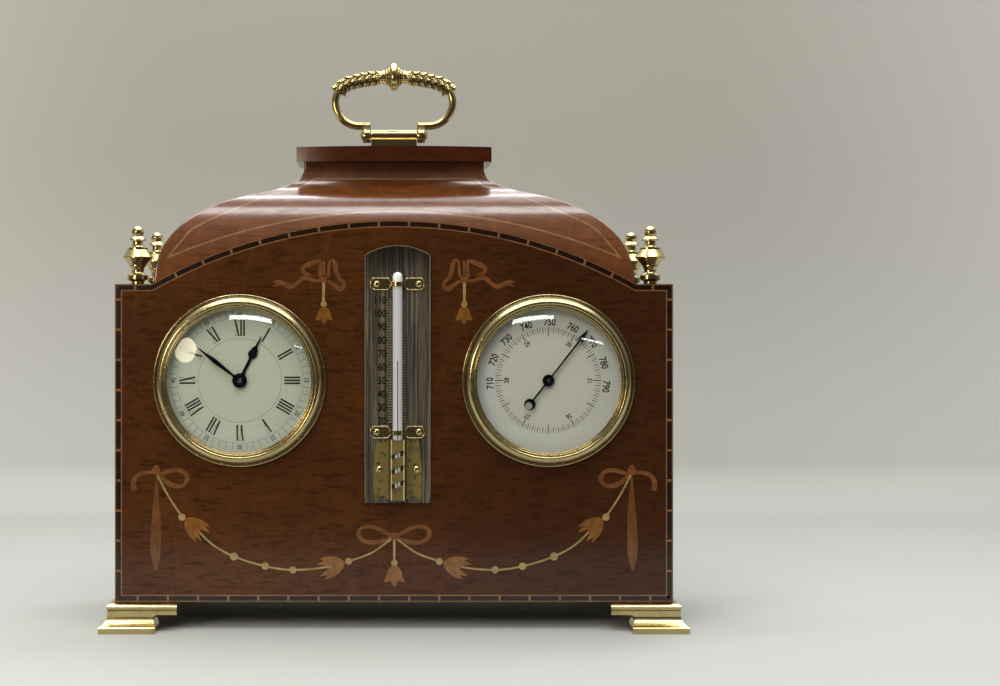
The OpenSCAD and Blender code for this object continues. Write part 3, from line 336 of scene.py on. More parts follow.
def makePaper():
    # The profile runs back along the floor, round a quarter circle and up the wall; it is drawn out along X.
    bend = arcRun((paper["bend"], paper["bendRadius"]), paper["bendRadius"], -90, 0, 25)
    y, z = np.concatenate([[(paper["front"], 0)], bend, [(bend[-1, 0], paper["top"])]]).T[:, :, None]
    x = np.linspace(-paper["halfWidth"], paper["halfWidth"], 3)
    sheet = Finish("paperSheet")
    right, back, height = sheet.axes()
    # Painted shade and light on the wall: darker towards its top, paler out to its sides
    wall = sheet.mix(paper["wallLow"], paper["wallHigh"], sheet.band(height, *paper["wallFade"]))
    aside = sheet.band(sheet.off(right, paper["sideMiddle"]), *paper["sideFade"])
    wall = sheet.mix(wall, paper["wallSide"], aside * paper["sideShare"])
    floor = sheet.mix(paper["floorColour"], paper["floorFar"], sheet.band(back, *paper["floorFade"]))
    colour = sheet.mix(floor, wall, sheet.band(height, 0.0, paper["bendRadius"] * 1.2))
    # The sheet's back is clear, so that it doesn't hide the object in a view from behind.
    behind = sheet.node("ShaderNodeNewGeometry", output="Backfacing")
    front, clear = sheet.body(Base_Color=colour, Roughness=0.9), sheet.node("ShaderNodeBsdfTransparent")
    finishes["paper"] = sheet.show(sheet.node("ShaderNodeMixShader", {}, {0: behind, 1: front, 2: clear}))
    makePiece("paperSheet", [gridPart(spread(x, y, z))], "paper")


# Finishes. Colours are written as they look in even light. A noise is its scale per metre, its detail, its
# roughness and its distortion; the wood's noises are followed by how far each is drawn out along the grain.
woodGrain = {
    "clouds": ((42, 3, 0.5), 0.5),
    "flecks": ((640, 4, 0.7, 0.5), 0.16),
    "pores": ((2100, 2, 0.6), 0.07),
    "fleckBand": (0.5, 0.63),
    "poreBand": (0.60, 0.74),
    "poreShare": 0.45,
    "toneBand": (0.36, 0.66),
    "paintedShadeBand": (-30 * mm, 80 * mm),
}


def mahoganyFinish(name, along, light, dark, pore="#1F0F05", gloss=0.13, coat=0.15, curl=0.5,
                   shine=0.25, ripple=0.12, coatRough=0.1, fade=0.0, fleck=0.42):
    # Short dark flecks and fine pores along the grain, over soft clouds and a faint figure across it; fade
    # paints shade over the wood towards the right.
    wood = Finish(name)
    clouds, flecks, pores = (
        wood.noise(*numbers, drawn=tuple(share if axis == along else 1 for axis in "xyz"))
        for numbers, share in (woodGrain[layer] for layer in ("clouds", "flecks", "pores")))
    figure = wood.noise(210, 4, 0.6, 0.8, turn=(0.2, 0.5, 0.2), drawn=(1, 1, 0.45))
    fleckMask, poreMask = wood.band(flecks, *woodGrain["fleckBand"]), wood.band(pores, *woodGrain["poreBand"])
    tone = wood.band(clouds * 0.55 + figure * 0.45, *woodGrain["toneBand"])
    colour = wood.mix(dark, light, tone * curl + (1 - curl) * 0.6)
    # fade is painted shade: the wood darkens towards the right as if less light fell there
    if fade:
        right = wood.axes()[0] + (clouds - 0.5) * (60 * mm)
        colour = wood.mix(colour, dark, wood.band(right, *woodGrain["paintedShadeBand"]) * fade)
    for mask, share in ((fleckMask, fleck), (poreMask, woodGrain["poreShare"])):
        colour = wood.mix(colour, pore, mask * share)
    normal = wood.bump(1 - poreMask * 0.5, 0.04 * mm, 0.25, wood.bump(figure, 0.25 * mm, ripple))
    return wood.surface(Base_Color=colour, Roughness=flecks * 0.12 + gloss, Normal=normal,
                        Coat_Weight=(1.25 - fleckMask * 0.5 - poreMask * 0.35) * coat,
                        Coat_Roughness=coatRough, Specular_IOR_Level=shine)


def brassFinish(name, bright, deep, rough=0.1, worn=0.3, hollows=None, metal=1.0, stain=None, channel=None):
    # Polished brass: a little tarnish in soft clouds, fine rubbing marks in the shine, and spots of stain.
    # Where a piece carries the attribute that hollows names, the metal is dark and dull by that share.
    brass = Finish(name)
    marks = brass.noise(1900, 3, 0.6)
    dull = brass.band(brass.noise(210, 4, 0.6), 0.48, 0.75)
    colour = brass.mix(bright, deep, dull * worn)
    shine = dull * 0.1 + marks * 0.08 + rough
    if stain:
        spots = brass.band(brass.noise(420, 5, 0.7, 0.6), 0.54, 0.68)
        colour = brass.mix(colour, stain, spots * 0.85)
    if channel:
        # A raised channel with this box: a painted highlight along its edges and painted shade along its foot
        middle, half = (size[0] * mm for size in middleAndHalf(channel))
        off = brass.off(brass.axes()[0], middle)
        rim = half - 0.1 * mm
        paintedEdgeHighlight = brass.band(off, rim - 0.45 * mm, rim - 0.3 * mm) * (1 - brass.band(off, rim, half))
        dirtAndPaintedShade = brass.band(off, half, half + 0.08 * mm)
        dirtAndPaintedShade = dirtAndPaintedShade * (1 - brass.band(off, half + 0.3 * mm, half + 0.9 * mm))
        colour = brass.mix(brass.mix(colour, "#E6D29A", paintedEdgeHighlight * 0.8), "#1A1309", dirtAndPaintedShade * 0.85)
    if hollows:
        # Here the dark share is the patina that gathers in the hollows
        dirtAndPaintedShade = brass.node("ShaderNodeAttribute", {"attribute_name": hollows}, output="Fac").clamped()
        colour, shine = brass.mix(colour, "#1E160A", dirtAndPaintedShade * 0.95), shine + dirtAndPaintedShade * 0.3
    return brass.surface(Base_Color=colour, Metallic=metal, Roughness=shine,
                         Normal=brass.bump(marks, 0.015 * mm, 0.09))


def steelFinish(name, tone, deep, rough):
    steel = Finish(name)
    marks = steel.noise(3000, 3, 0.6, drawn=(0.1, 1, 1))
    colour = steel.mix(tone, deep, steel.band(steel.noise(240, 4, 0.6), 0.35, 0.7))
    return steel.surface(Base_Color=colour, Metallic=1.0, Roughness=marks * 0.12 + rough,
                         Normal=steel.bump(marks, 0.02 * mm, 0.3))


def dialFinish(name, middle, edge, box):
    # A painted dial: a faint darkening towards its rim and a very fine tooth in the paint.
    dial = Finish(name)
    centre, half = middleAndHalf(box)
    radius = half[0] * mm
    away = dial.node("ShaderNodeVectorMath", {"operation": "DISTANCE"},
                     {0: dial.here(), 1: tuple(centre * mm)}, output="Value")
    age = dial.noise(90, 4, 0.6)
    colour = dial.mix(middle, edge, dial.band(away + (age - 0.5) * (4 * mm), radius * 0.55, radius))
    return dial.surface(Base_Color=colour, Roughness=age * 0.12 + 0.34, Metallic=0.0,
                        Normal=dial.bump(dial.noise(6000, 2, 0.5), 0.02 * mm, 0.2))


def scaleFinish():
    # The thermometer's plate: dark silvered brass with long upright scratches, and painted shade, near black,
    # under its arched top.
    plate = Finish("silveredScale")
    brushed = plate.noise(1500, 5, 0.7, drawn=(1, 1, 0.012))
    fine = plate.noise(5200, 3, 0.6, drawn=(1, 1, 0.02))
    clouds = plate.noise(90, 4, 0.6, drawn=(1, 1, 0.35))
    streak = (brushed * 0.75 + fine * 0.35 - 0.05).clamped()
    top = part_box("scale_plate")[1].z
    shade = plate.band(plate.axes()[2] + clouds * (6 * mm), top - 16 * mm, top + 3 * mm)
    colour = plate.mix("#332D25", "#9A917D", plate.band(streak, 0.38, 0.72))
    colour = plate.mix(colour, "#4B4234", plate.band(clouds, 0.4, 0.75) * 0.5)
    colour = plate.mix(colour, "#14100B", shade * 0.85)
    return plate.surface(Base_Color=colour, Metallic=0.7, Roughness=streak * 0.2 + 0.36,
                         Normal=plate.bump(brushed, 0.05 * mm, 0.4))


def glassFinish(name, tint):
    # Clear glass as what passes straight through, with a mirror share that grows towards its edge.
    glass = Finish(name)
    through = glass.node("ShaderNodeBsdfTransparent", {}, {"Color": tint})
    mirror = glass.node("ShaderNodeBsdfGlossy", {}, {"Color": "#FFFFFF", "Roughness": 0.02})
    share = glass.node("ShaderNodeFresnel", {}, {"IOR": 1.48}) * (
        1 - glass.node("ShaderNodeNewGeometry", output="Backfacing"))
    return glass.show(glass.node("ShaderNodeMixShader", {}, {0: share, 1: through, 2: mirror}))


def tubeFinish():
    # White-backed glass: milky under a clear skin, with painted shade down its sides behind the guard, and
    # the dark bore seen through it up to the column's top.
    tube = Finish("tubeGlass")
    milk = tube.noise(700, 3, 0.5, drawn=(1, 1, 0.2))
    right, back, up = tube.axes()
    off = tube.off(right, middleAndHalf(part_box("thermometer_tube"))[0][0] * mm)
    level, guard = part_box("thermometer_liquid")[1].z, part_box("guard_plate")[1].z
    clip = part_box("tube_clips")[1].z
    column = (1 - tube.band(off, 0.16 * mm, 0.26 * mm)) * (1 - tube.band(up, level - 0.2 * mm, level))
    shaded = tube.band(off, 0.75 * mm, 1.15 * mm) * (1 - tube.band(up, guard, guard + 0.5 * mm))
    colour = tube.mix("#A8A8AC", "#C0C0C2", milk)
    for tone, share in (("#33363C", column * 0.92), ("#0E0B08", shaded * 0.95),
                        ("#DFE0E1", tube.band(up, clip - 3 * mm, clip))):
        colour = tube.mix(colour, tone, share)
    return tube.surface(Base_Color=colour, Roughness=milk * 0.05 + 0.12, Coat_Weight=0.8, Coat_Roughness=0.03)


def inlayFinish(name, light, dark, along=(0.25, 1, 1), coat=0.5):
    # A slip of pale or stained wood with its own short grain.
    slip = Finish(name)
    grain = slip.noise(900, 4, 0.6, drawn=along)
    tone = (grain * 0.6 + slip.noise(260, 3, 0.6) * 0.6 - 0.1).clamped()
    return slip.surface(Base_Color=slip.mix(dark, light, slip.band(tone, 0.25, 0.75)),
                        Roughness=grain * 0.12 + 0.16, Coat_Weight=coat, Coat_Roughness=0.12)


def inkFinish(name, dark, worn):
    ink = Finish(name)
    wear = ink.noise(1800, 3, 0.6)
    return ink.surface(Base_Color=ink.mix(dark, worn, ink.band(wear, 0.45, 0.75)),
                       Roughness=wear * 0.2 + 0.5, Specular_IOR_Level=0.15)


def blueFinish():
    # Blued steel: near black, with a blue that comes and goes with the heat it was given.
    blue = Finish("bluedSteel")
    heat = blue.noise(320, 3, 0.5)
    return blue.surface(Base_Color=blue.mix("#0E1118", "#1F2B45", blue.band(heat, 0.4, 0.7)),
                        Metallic=0.9, Roughness=heat * 0.1 + 0.22)


makeCamera()
makeLamps()
makeRoom()
makePaper()
finishes.update({
    # The front board's fade is painted shade towards its right.
    "mahogany": mahoganyFinish("mahogany", "x", "#4E2B11", "#2F1809", fade=0.7, fleck=0.62),
    "mahogany_side": mahoganyFinish("mahoganySide", "y", "#512A0F", "#331808"),
    "mahogany_veneer": mahoganyFinish("mahoganyVeneer", "x", "#6C3F20", "#4B270E", pore="#331A09",
                                      gloss=0.17, coat=0.6, shine=0.4, ripple=0.35, coatRough=0.13),
    "mahogany_slab": mahoganyFinish("mahoganySlab", "x", "#47210E", "#2D1206", gloss=0.14, coat=0.2),
    "brass": brassFinish("polishedBrass", "#C0AF7C", "#84754F", rough=0.15),
    "carved_brass": brassFinish("carvedBrass", "#C6B37A", "#86754A", rough=0.14, hollows="hollow"),
    # The guards' finish paints a highlight along the channel's edges and shade along its foot.
    "aged_brass": brassFinish("agedBrass", "#7A6A3C", "#524527", rough=0.3, worn=0.9, metal=0.45,
                              stain="#2C2011", channel=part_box("bulb_guard")),
    "bezel_brass": brassFinish("bezelBrass", "#BDAD7D", "#877750", rough=0.18),
    "works_brass": brassFinish("worksBrass", "#D6BE82", "#A68C54", rough=0.24),
    "steel": steelFinish("brightSteel", "#C9CCD0", "#8D9196", 0.2),
    "capsule_tin": steelFinish("capsuleTin", "#B9BABA", "#85878A", 0.32),
    "blued_steel": blueFinish(),
    "silvered_dial": dialFinish("clockDial", "#AFB29F", "#A6AB9E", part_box("clock_dial")),
    "enamel_dial": dialFinish("barometerDial", "#B3B1A4", "#AEAEA7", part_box("barometer_dial")),
    "dome_glass": glassFinish("domeGlass", "#FBFCFC"),
    "silvered_scale": scaleFinish(),
    "tube_glass": tubeFinish(),
    "thermometer_liquid": steelFinish("thermometerLiquid", "#8A8D93", "#55585E", 0.15),
    "boxwood": inlayFinish("boxwood", "#94804F", "#735E38"),
    "husk": inlayFinish("huskWood", "#7A4F1E", "#5A3610", along=(1, 1, 0.3)),
    "bow": inlayFinish("bowWood", "#6E4322", "#523017"),
    "ribbonWood": inlayFinish("ribbonWood", "#643C1A", "#4A2A11", along=(1, 1, 0.2)),
    "borderLine": inlayFinish("borderLine", "#7E5835", "#5F4025"),
    "borderBar": inlayFinish("borderBar", "#79573A", "#583B23"),
    "ebony": inlayFinish("ebonyDash", "#200F08", "#120804", coat=0.05),
    "caddyString": inlayFinish("caddyString", "#80603F", "#674627", coat=0.8),
    "ink": inkFinish("dialInk", "#15140F", "#35332C"),
    "scaleInk": inkFinish("scaleInk", "#040302", "#0B0A07"),
    "ladder": inkFinish("ladderGround", "#6B6049", "#524A38"),
    "fineInk": inkFinish("fineInk", "#4A4B42", "#62645A"),
})
print("finishes made:", len(finishes))

# Inlay let into the front board: places are (right, up) in millimetres, up from the table. Neighbours
# stand out by slightly different amounts, a tier apart, so that none share a face.
board = {
    "face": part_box("front_board")[0].y / mm,
    "halfWidth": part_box("front_board")[1].x / mm,
    "bottom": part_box("front_board")[0].z / mm,
    "peak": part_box("front_board")[1].z / mm,
    "shoulder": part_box("top_board")[1].z / mm,
    "archHalfWidth": 94.5,
    "proud": 0.04,
    "deep": 0.25,
    "tier": 0.006,
    "tiers": 8,
}
# The border runs round the board; its lines and dashes are (how far inside the case's outline, width).
border = {
    "outer": (0.3, 0.32),
    "dashes": (1.4, 1.7),
    "inner": (2.55, 0.42),
    "barPitch": 11.72,
    "barWidth": 1.1,
    "sideBarStart": 10.7,
    "shortRun": 30,
}


def through(knots, perStep=8):
    # A Catmull-Rom curve: half of 2b + (c - a)t + (2a - 5b + 4c - d)t^2 + (3b - a - 3c + d)t^3 for each four
    # knots a, b, c, d that follow each other
    k = np.asarray(knots, float)
    if len(k) < 3:
        return k
    k = np.concatenate([[2 * k[0] - k[1]], k, [2 * k[-1] - k[-2]]])
    t = np.arange(perStep)[None, :, None] / perStep
    a, b, c, d = (k[i:len(k) - 3 + i, None, :] for i in range(4))
    curve = 2 * b + (c - a) * t + (2 * a - 5 * b + 4 * c - d) * t ** 2 + (3 * b - a - 3 * c + d) * t ** 3
    return np.concatenate([0.5 * curve.reshape(-1, k.shape[1]), k[-2:-1]])


def distances(line):
    # How far along a line each of its points lies
    return np.append(0, np.cumsum(np.linalg.norm(np.diff(line, axis=0), axis=1)))


def pointsAt(line, marks):
    # The line's points at the given distances along it
    return spread(*(np.interp(marks, distances(line), column) for column in line.T))


def bands(name, items, finish, proud, deep):
    # Each item is a line in space, its normals and its widths. Four edges run beside the line: half the
    # width to either side, which is the normal crossed with the line's run, and out or in along the normal.
    parts = []
    for index, (line, normal, width) in enumerate(items):
        side = np.cross(normal, np.gradient(line, axis=0))
        side /= np.linalg.norm(side, axis=1, keepdims=True)
        side *= np.broadcast_to(width, len(line))[:, None] / 2
        out, back = normal * (proud + board["tier"] * (index % board["tiers"])), normal * -deep
        left, right = line + side, line - side
        ring = np.stack([left + out, right + out, right + back, left + back], axis=1)
        parts.append(gridPart(ring * mm, closeV=True, capped=True))
    return makePiece(name, parts, finish, sharpAbove=0, onBody="root")


def slips(name, items, finish, face=board["face"], proud=board["proud"], deep=board["deep"]):
    # Bands let into an upright face that looks forward; each item is a line of (right, up) and its widths
    forward = np.array([[0.0, -1.0, 0.0]])
    return bands(name, [(np.insert(np.asarray(line, float), 1, face, axis=1), forward, width)
                        for line, width in items], finish, proud, deep)


def mirrored(items):
    # The same slips on the right: right becomes -right, and the line runs the other way
    return items + [(np.asarray(line, float)[::-1] * (-1, 1), np.broadcast_to(width, len(line))[::-1])
                    for line, width in items]


def bead(centre, radius, steps=14):
    # A disc as one slip: along its width x = -r cos a, the width is 2 r sin a
    a = np.linspace(0.02, math.pi - 0.02, steps)
    return spread(centre[0] - radius * np.cos(a), centre[1]), 2 * radius * np.sin(a)


def leaf(root, tip, width, lean=0.0, steps=12, belly=0.45):
    # A petal from root to tip: its width swells as sin(pi t^p), and it leans to one side as sin(pi t)
    t = np.linspace(0, 1, steps)
    root, tip = np.asarray(root, float), np.asarray(tip, float)
    away = np.array([-(tip - root)[1], (tip - root)[0]])
    line = root + (tip - root) * t[:, None] + away * lean * np.sin(math.pi * t)[:, None]
    power = math.log(0.5) / math.log(belly)
    return line, np.maximum(width * np.sin(math.pi * t ** power) ** 0.8, 0.05)


def outline(inset):
    # The case's outline moved inwards: a left run, the arch and the bottom. The left run meets the arch
    # where the moved arch of radius R - d crosses the moved shoulder line.
    rise = board["peak"] - board["shoulder"]
    radius = (board["archHalfWidth"] ** 2 + rise ** 2) / (2 * rise)
    middle, level = board["peak"] - radius, board["shoulder"] - inset
    meet = math.sqrt((radius - inset) ** 2 - (level - middle) ** 2)
    turn = math.degrees(math.asin(meet / (radius - inset)))
    arch = arcRun((0, middle), radius - inset, 90 + turn, 90 - turn, 61)
    x, low = board["halfWidth"] - inset, board["bottom"] + inset
    return np.array([[-x, low], [-x, level], [-meet, level]]), arch, np.array([[x, low], [-x, low]])


def cutRun(line, start, end, hair=0.001):
    # The stretch of a line between two distances along it, with no corner closer to an end than a hair
    far = distances(line)
    marks = np.concatenate([[start], far[(far > start + hair) & (far < end - hair)], [end]])
    return pointsAt(line, marks)


def makeBorder():
    # Two fine lines with a row of dashes between them; a bar fills each gap in the row
    lines = []
    for inset, width in (border["outer"], border["inner"]):
        left, arch, bottom = outline(inset)
        lines += mirrored([(left[:2], width), (left[1:], width)]) + [(arch, width), (bottom, width)]
    slips("borderLines", lines, "borderLine")
    inset, width = border["dashes"]
    left, arch, bottom = outline(inset)
    dashes, bars = [], []
    half, pitch = border["barWidth"] / 2, border["barPitch"]
    for line, first, both in ((left[:2], border["sideBarStart"], True), (left[1:], None, True),
                              (arch, None, False), (bottom, None, False)):
        length = distances(line)[-1]
        if first is None:  # bars stand evenly about the middle of the run
            first = (length / 2 - pitch / 2) % pitch if length > border["shortRun"] else length / 2
        places = np.arange(first, length - 1, pitch)
        edges = np.concatenate([[0], np.repeat(places, 2), [length]])
        edges[1:-1] += np.tile([-half, half], len(places))
        made = [(cutRun(line, a, b), width) for a, b in edges.reshape(-1, 2)]
        crossed = [(cutRun(line, p - half * 0.8, p + half * 0.8), width) for p in places]
        dashes += mirrored(made) if both else made
        bars += mirrored(crossed) if both else crossed
    slips("borderDashes", dashes, "ebony")
    slips("borderBars", bars, "borderBar")


# Festoon and bows. The left half is written; the right half mirrors it.
upperBow = {
    "knot": ((-27.3, 136.1), 1.35),
    "string": ([(-27.35, 135.0), (-27.4, 127.4)], 1.1),
    "bead": ((-27.3, 126.8), 1.2),
    "bell": ((-27.2, 126.0), 7.2),
    "innerLoop": ([(-27.6, 136.6), (-28.6, 138.0), (-28.5, 141.2), (-28.8, 143.6), (-31.3, 142.9),
                   (-33.7, 142.0), (-35.5, 140.7), (-34.8, 138.9), (-32.2, 138.2)],
                  [0.9, 1.5, 1.4, 1.0, 1.7, 1.9, 1.3, 1.5, 0.7]),
    "outerLoop": ([(-27.0, 136.4), (-25.6, 138.0), (-25.3, 141.2), (-24.9, 143.4), (-23.8, 143.9),
                   (-22.9, 142.4), (-22.4, 139.4), (-21.0, 136.7), (-19.4, 135.1), (-19.6, 133.4),
                   (-21.2, 132.7), (-23.3, 134.2), (-25.7, 135.9)],
                  [0.8, 1.2, 1.1, 0.8, 1.2, 1.7, 1.8, 1.4, 1.1, 1.6, 1.9, 1.5, 0.9]),
    "tail": ([(-27.8, 136.0), (-30.8, 135.9), (-33.5, 136.9), (-35.7, 136.7), (-38.0, 134.6),
              (-40.4, 133.7), (-43.2, 134.8), (-45.2, 135.6), (-47.0, 135.3)],
             [0.8, 1.2, 1.6, 1.7, 1.5, 1.9, 1.8, 1.4, 0.5]),
    "tailFork": ([(-43.6, 134.8), (-45.4, 134.4), (-46.6, 133.6)], [1.3, 1.0, 0.4]),
    "upright": ([(-27.2, 138.0), (-27.2, 143.6)], [0.9, 0.7]),
}
lowerBow = {
    "knot": ([(-92.3, 64.2), (-92.4, 62.4), (-92.4, 60.4)], [1.2, 3.3, 2.2]),
    "tail": ([(-92.8, 61.2), (-94.6, 61.4), (-98.0, 61.0), (-100.4, 59.5), (-101.3, 57.2), (-100.9, 54.4)],
             [0.9, 1.3, 1.7, 1.6, 2.0, 2.2]),
    "loop": ([(-92.0, 60.9), (-90.3, 60.9), (-87.4, 61.8), (-84.4, 62.2), (-81.9, 61.5), (-80.3, 59.2),
              (-81.7, 56.6), (-84.2, 56.0), (-87.0, 56.8), (-89.7, 58.7), (-91.6, 60.4)],
             [0.7, 1.3, 1.7, 1.6, 1.5, 1.9, 1.5, 1.7, 2.0, 1.6, 0.7]),
    "ribbon": ([(-92.3, 60.5), (-92.4, 54.0), (-92.4, 45.2), (-92.6, 38.0), (-92.7, 32.0), (-92.7, 27.0),
                (-92.8, 23.3)],
               [0.8, 1.7, 3.3, 3.9, 4.2, 3.0, 0.5]),
}
centreBow = {
    "knot": ([(-2.1, 36.3), (0, 36.6), (2.1, 36.3)], [1.2, 3.2, 1.2]),
    "loop": ([(-0.6, 36.4), (-2.6, 37.6), (-6.4, 39.5), (-10.0, 40.4), (-12.9, 39.5), (-13.8, 37.4),
              (-12.3, 35.1), (-8.8, 34.1), (-4.4, 34.6), (-0.9, 36.0)],
             [0.8, 1.3, 1.6, 1.4, 1.4, 1.9, 1.6, 1.6, 1.7, 0.8]),
    "string": ([(0.15, 35.2), (0.1, 26.8)], 0.9),
    "bead": ((0.1, 26.2), 1.25),
    "bell": ((0.15, 25.4), 8.6),
}
festoon = {
    "strings": [[(-92.0, 60.3), (-88.7, 53.9), (-85.4, 48.5), (-82.6, 44.5)],
                [(-75.8, 38.3), (-71.5, 34.1), (-67.1, 31.1), (-62.2, 28.7), (-56.3, 26.6), (-50.0, 24.9),
                 (-44.6, 23.9), (-39.3, 23.5), (-32.0, 23.8), (-24.0, 24.9)],
                [(-16.8, 27.1), (-11.5, 28.9), (-7.2, 31.0), (-1.2, 35.4)]],
    "stringWidth": 0.72,
    "stringProud": 0.06,
    "huskProud": 0.05,
    "huskBelly": 0.42,
    "beads": [((-82.4, 44.0), 1.4), ((-62.2, 28.7), 1.55), ((-50.0, 24.9), 1.45), ((-39.3, 23.5), 1.4),
              ((-17.6, 26.8), 1.35)],
    "husks": [((-81.0, 43.3), -42, 10.4), ((-19.2, 26.3), 196, 10.6)],
    "petals": [(-24, 0.95, 0.24, -0.05), (24, 0.95, 0.24, 0.05), (-13, 1.04, 0.23, -0.02),
               (13, 1.04, 0.23, 0.02), (0, 0.72, 0.34, 0)],
}


def husk(root, heading, length):
    # Four petals and a short heart, spread like a fan about the heading in degrees; each leans outwards
    made = []
    for turn, reach, width, lean in festoon["petals"]:
        angle = math.radians(heading + turn)
        tip = (root[0] + length * reach * math.cos(angle), root[1] + length * reach * math.sin(angle))
        made.append(leaf(root, tip, length * width, lean, belly=festoon["huskBelly"]))
    return made


def bell(top, height):
    # A hanging flower: two petals that curl outwards at the foot, and a tongue between them
    x, z = top
    side = np.array([(0, -0.02), (-0.15, -0.3), (-0.22, -0.55), (-0.46, -0.76)])
    line = through(side * height + top, 5)
    swell = [0, 0.25, 0.6, 0.85, 1], [0.12, 0.3, 0.34, 0.22, 0.03]
    width = height * np.interp(np.linspace(0, 1, len(line)), *swell)
    tongue = leaf((x, z - height * 0.3), (x, z - height), height * 0.32, belly=0.5)
    mirror = (line[::-1] * (-1, 1) + (2 * x, 0), width[::-1])
    return [(line, width), mirror, tongue, leaf((x, z), (x, z - height * 0.7), height * 0.34)]


def ribbon(points, widths):
    # A band on a smooth line through the points; its width runs as smoothly from value to value
    line = through(points)
    share, knots = np.linspace(0, 1, len(line)), np.linspace(0, 1, len(widths))
    return line, np.interp(share, knots, widths)


def makeFestoon():
    bows = [ribbon(*upperBow[part]) for part in ("innerLoop", "outerLoop", "tail", "tailFork", "upright")]
    bows += [bead(*upperBow["knot"])] + [ribbon(*lowerBow[part]) for part in ("knot", "tail", "loop")]
    bows += [ribbon(*centreBow["loop"])]
    slips("bows", mirrored(bows) + [ribbon(*centreBow["knot"])], "bow")
    slips("sideRibbons", mirrored([ribbon(*lowerBow["ribbon"])]), "ribbonWood")
    strings = [(through(line), festoon["stringWidth"]) for line in festoon["strings"]] + [upperBow["string"]]
    beads = [bead(*place) for place in festoon["beads"] + [upperBow["bead"]]]
    alone = [centreBow["string"], bead(*centreBow["bead"])]
    slips("festoonStrings", mirrored(strings + beads) + alone, "boxwood", proud=festoon["stringProud"])
    husks = [petal for place in festoon["husks"] for petal in husk(*place)]
    slips("husks", mirrored(husks + bell(*upperBow["bell"])) + bell(*centreBow["bell"]), "husk",
          proud=festoon["huskProud"])


makeBorder()
makeFestoon()
print("inlay laid")


# The caddy top: rounded rectangles that draw in along an ogee, which is written as shares of the way in
# to the neck and of the height; each string lies on one of its slopes.
caddyLow, caddyHigh = corners(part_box("caddy_top"))
caddy = {
    "neck": (36.4, 12.0),
    "hipRadius": 0.9,
    "ogeeLow": [(0, 0), (0, 0.45), (0.33, 0.66), (0.7, 0.748)],
    "ogeeHigh": [(0.7, 0.748), (0.86, 0.786), (1, 0.85), (1, 0.95)],
    "stringWidth": 0.75,
    "stringProud": 0.03,
    "stringDeep": 0.4,
    "archString": {"radius": 224.0, "peak": 163.5, "halfWidth": 88.9},
    "hipString": [(-88.9, 144.7), (-87.0, 147.6), (-84.3, 150.8), (-79.7, 156.2), (-71.3, 160.9),
                  (-61.3, 165.3), (-50.2, 170.0), (-37.6, 173.9), (-32.2, 177.4)],
    "neckString": 177.4,
    "endString": {"bottom": 143.0, "in": 3.6},
}


def bezier(four, steps):
    # (1 - t)^3 a + 3 (1 - t)^2 t b + 3 (1 - t) t^2 c + t^3 d for the four points a, b, c, d
    a, b, c, d = np.asarray(four, float)
    t = np.linspace(0, 1, steps)[:, None]
    return (1 - t) ** 3 * a + 3 * (1 - t) ** 2 * t * b + 3 * (1 - t) * t ** 2 * c + t ** 3 * d


caddyOgee = np.concatenate([bezier(caddy["ogeeLow"], 48), bezier(caddy["ogeeHigh"], 28)[1:], [(1, 1)]])


def drawnIn(share, axis):
    # Half the caddy's width (axis 0) or depth (axis 1) where it is drawn in by a share of the way to the neck
    return caddyHigh[axis] - share * (caddyHigh[axis] - caddy["neck"][axis])


def caddyHalf(up, axis):
    # The same at a height above the table
    height = (up - caddyLow[2]) / (caddyHigh[2] - caddyLow[2])
    return drawnIn(np.interp(height, caddyOgee[:, 1], caddyOgee[:, 0]), axis)


def onCaddy(line, side, axis):
    # Lifts (along, up) onto the slope that faces side times the axis. With h the half size at a height,
    # the slope's normal points out along the axis and up by -dh/dup.
    along, up = np.asarray(line, float).T
    out = caddyHalf(up, axis)
    lean = (caddyHalf(up + 0.1, axis) - caddyHalf(up - 0.1, axis)) / 0.2
    point, normal = np.zeros((len(along), 3)), np.zeros((len(along), 3))
    point[:, axis], point[:, 1 - axis], point[:, 2] = side * out, along, up
    normal[:, axis], normal[:, 2] = side, -lean
    return point, normal / np.linalg.norm(normal, axis=1, keepdims=True)


def roundedRing(halfX, halfY, radius, steps=6, near=0.4):
    # A rectangle with round corners, with one more point close to each end of every straight side
    corner = arcRun((halfX - radius, halfY - radius), radius, 0, 90, steps)
    corner = np.concatenate([[corner[0] - (0, near)], corner, [corner[-1] - (near, 0)]])
    return np.concatenate([corner, corner[::-1] * (-1, 1), corner * (-1, -1), corner[::-1] * (1, -1)])


def makeCaddy():
    rings = []
    for share, height in caddyOgee:
        ring = roundedRing(drawnIn(share, 0), drawnIn(share, 1), caddy["hipRadius"])
        rings.append(np.insert(ring, 2, caddyLow[2] + height * (caddyHigh[2] - caddyLow[2]), axis=1))
    shell = makePiece("caddyVeneer", [gridPart(np.array(rings) * mm, closeV=True, capped=True)],
                      "mahogany_veneer", sharpAbove=50, onBody="root")
    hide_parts("caddy_top")
    # Strings on the front slope: an arch, the two hips and the neck; on both end slopes: an upright frame
    arch, hip, neck = caddy["archString"], through(caddy["hipString"], 10), caddy["neckString"]
    x = np.linspace(-arch["halfWidth"], arch["halfWidth"], 121)
    front = [spread(x, arch["peak"] - arch["radius"] + np.sqrt(arch["radius"] ** 2 - x ** 2)), hip,
             hip[::-1] * (-1, 1), spread(np.linspace(hip[-1, 0], -hip[-1, 0], 41), neck)]
    up = np.linspace(caddy["endString"]["bottom"], neck, 90)
    inside = caddyHalf(up, 1) - caddy["endString"]["in"]
    ends = [spread(edge * inside, up) for edge in (-1, 1)]
    ends += [spread(np.linspace(-inside[k], inside[k], 21), up[k]) for k in (0, -1)]
    placed = [onCaddy(line, -1, 1) for line in front]
    placed += [onCaddy(line, side, 0) for side in (-1, 1) for line in ends]
    bands("caddyStrings", [(point, normal, caddy["stringWidth"]) for point, normal in placed], "caddyString",
          caddy["stringProud"], caddy["stringDeep"])


# Lettering: plain numbers, set as text and made solid; and strokes drawn as slips.
printed = {
    "proud": 0.02,
    "deep": 0.05,
    "figureThick": 0.05,
}
figureShapes = {}


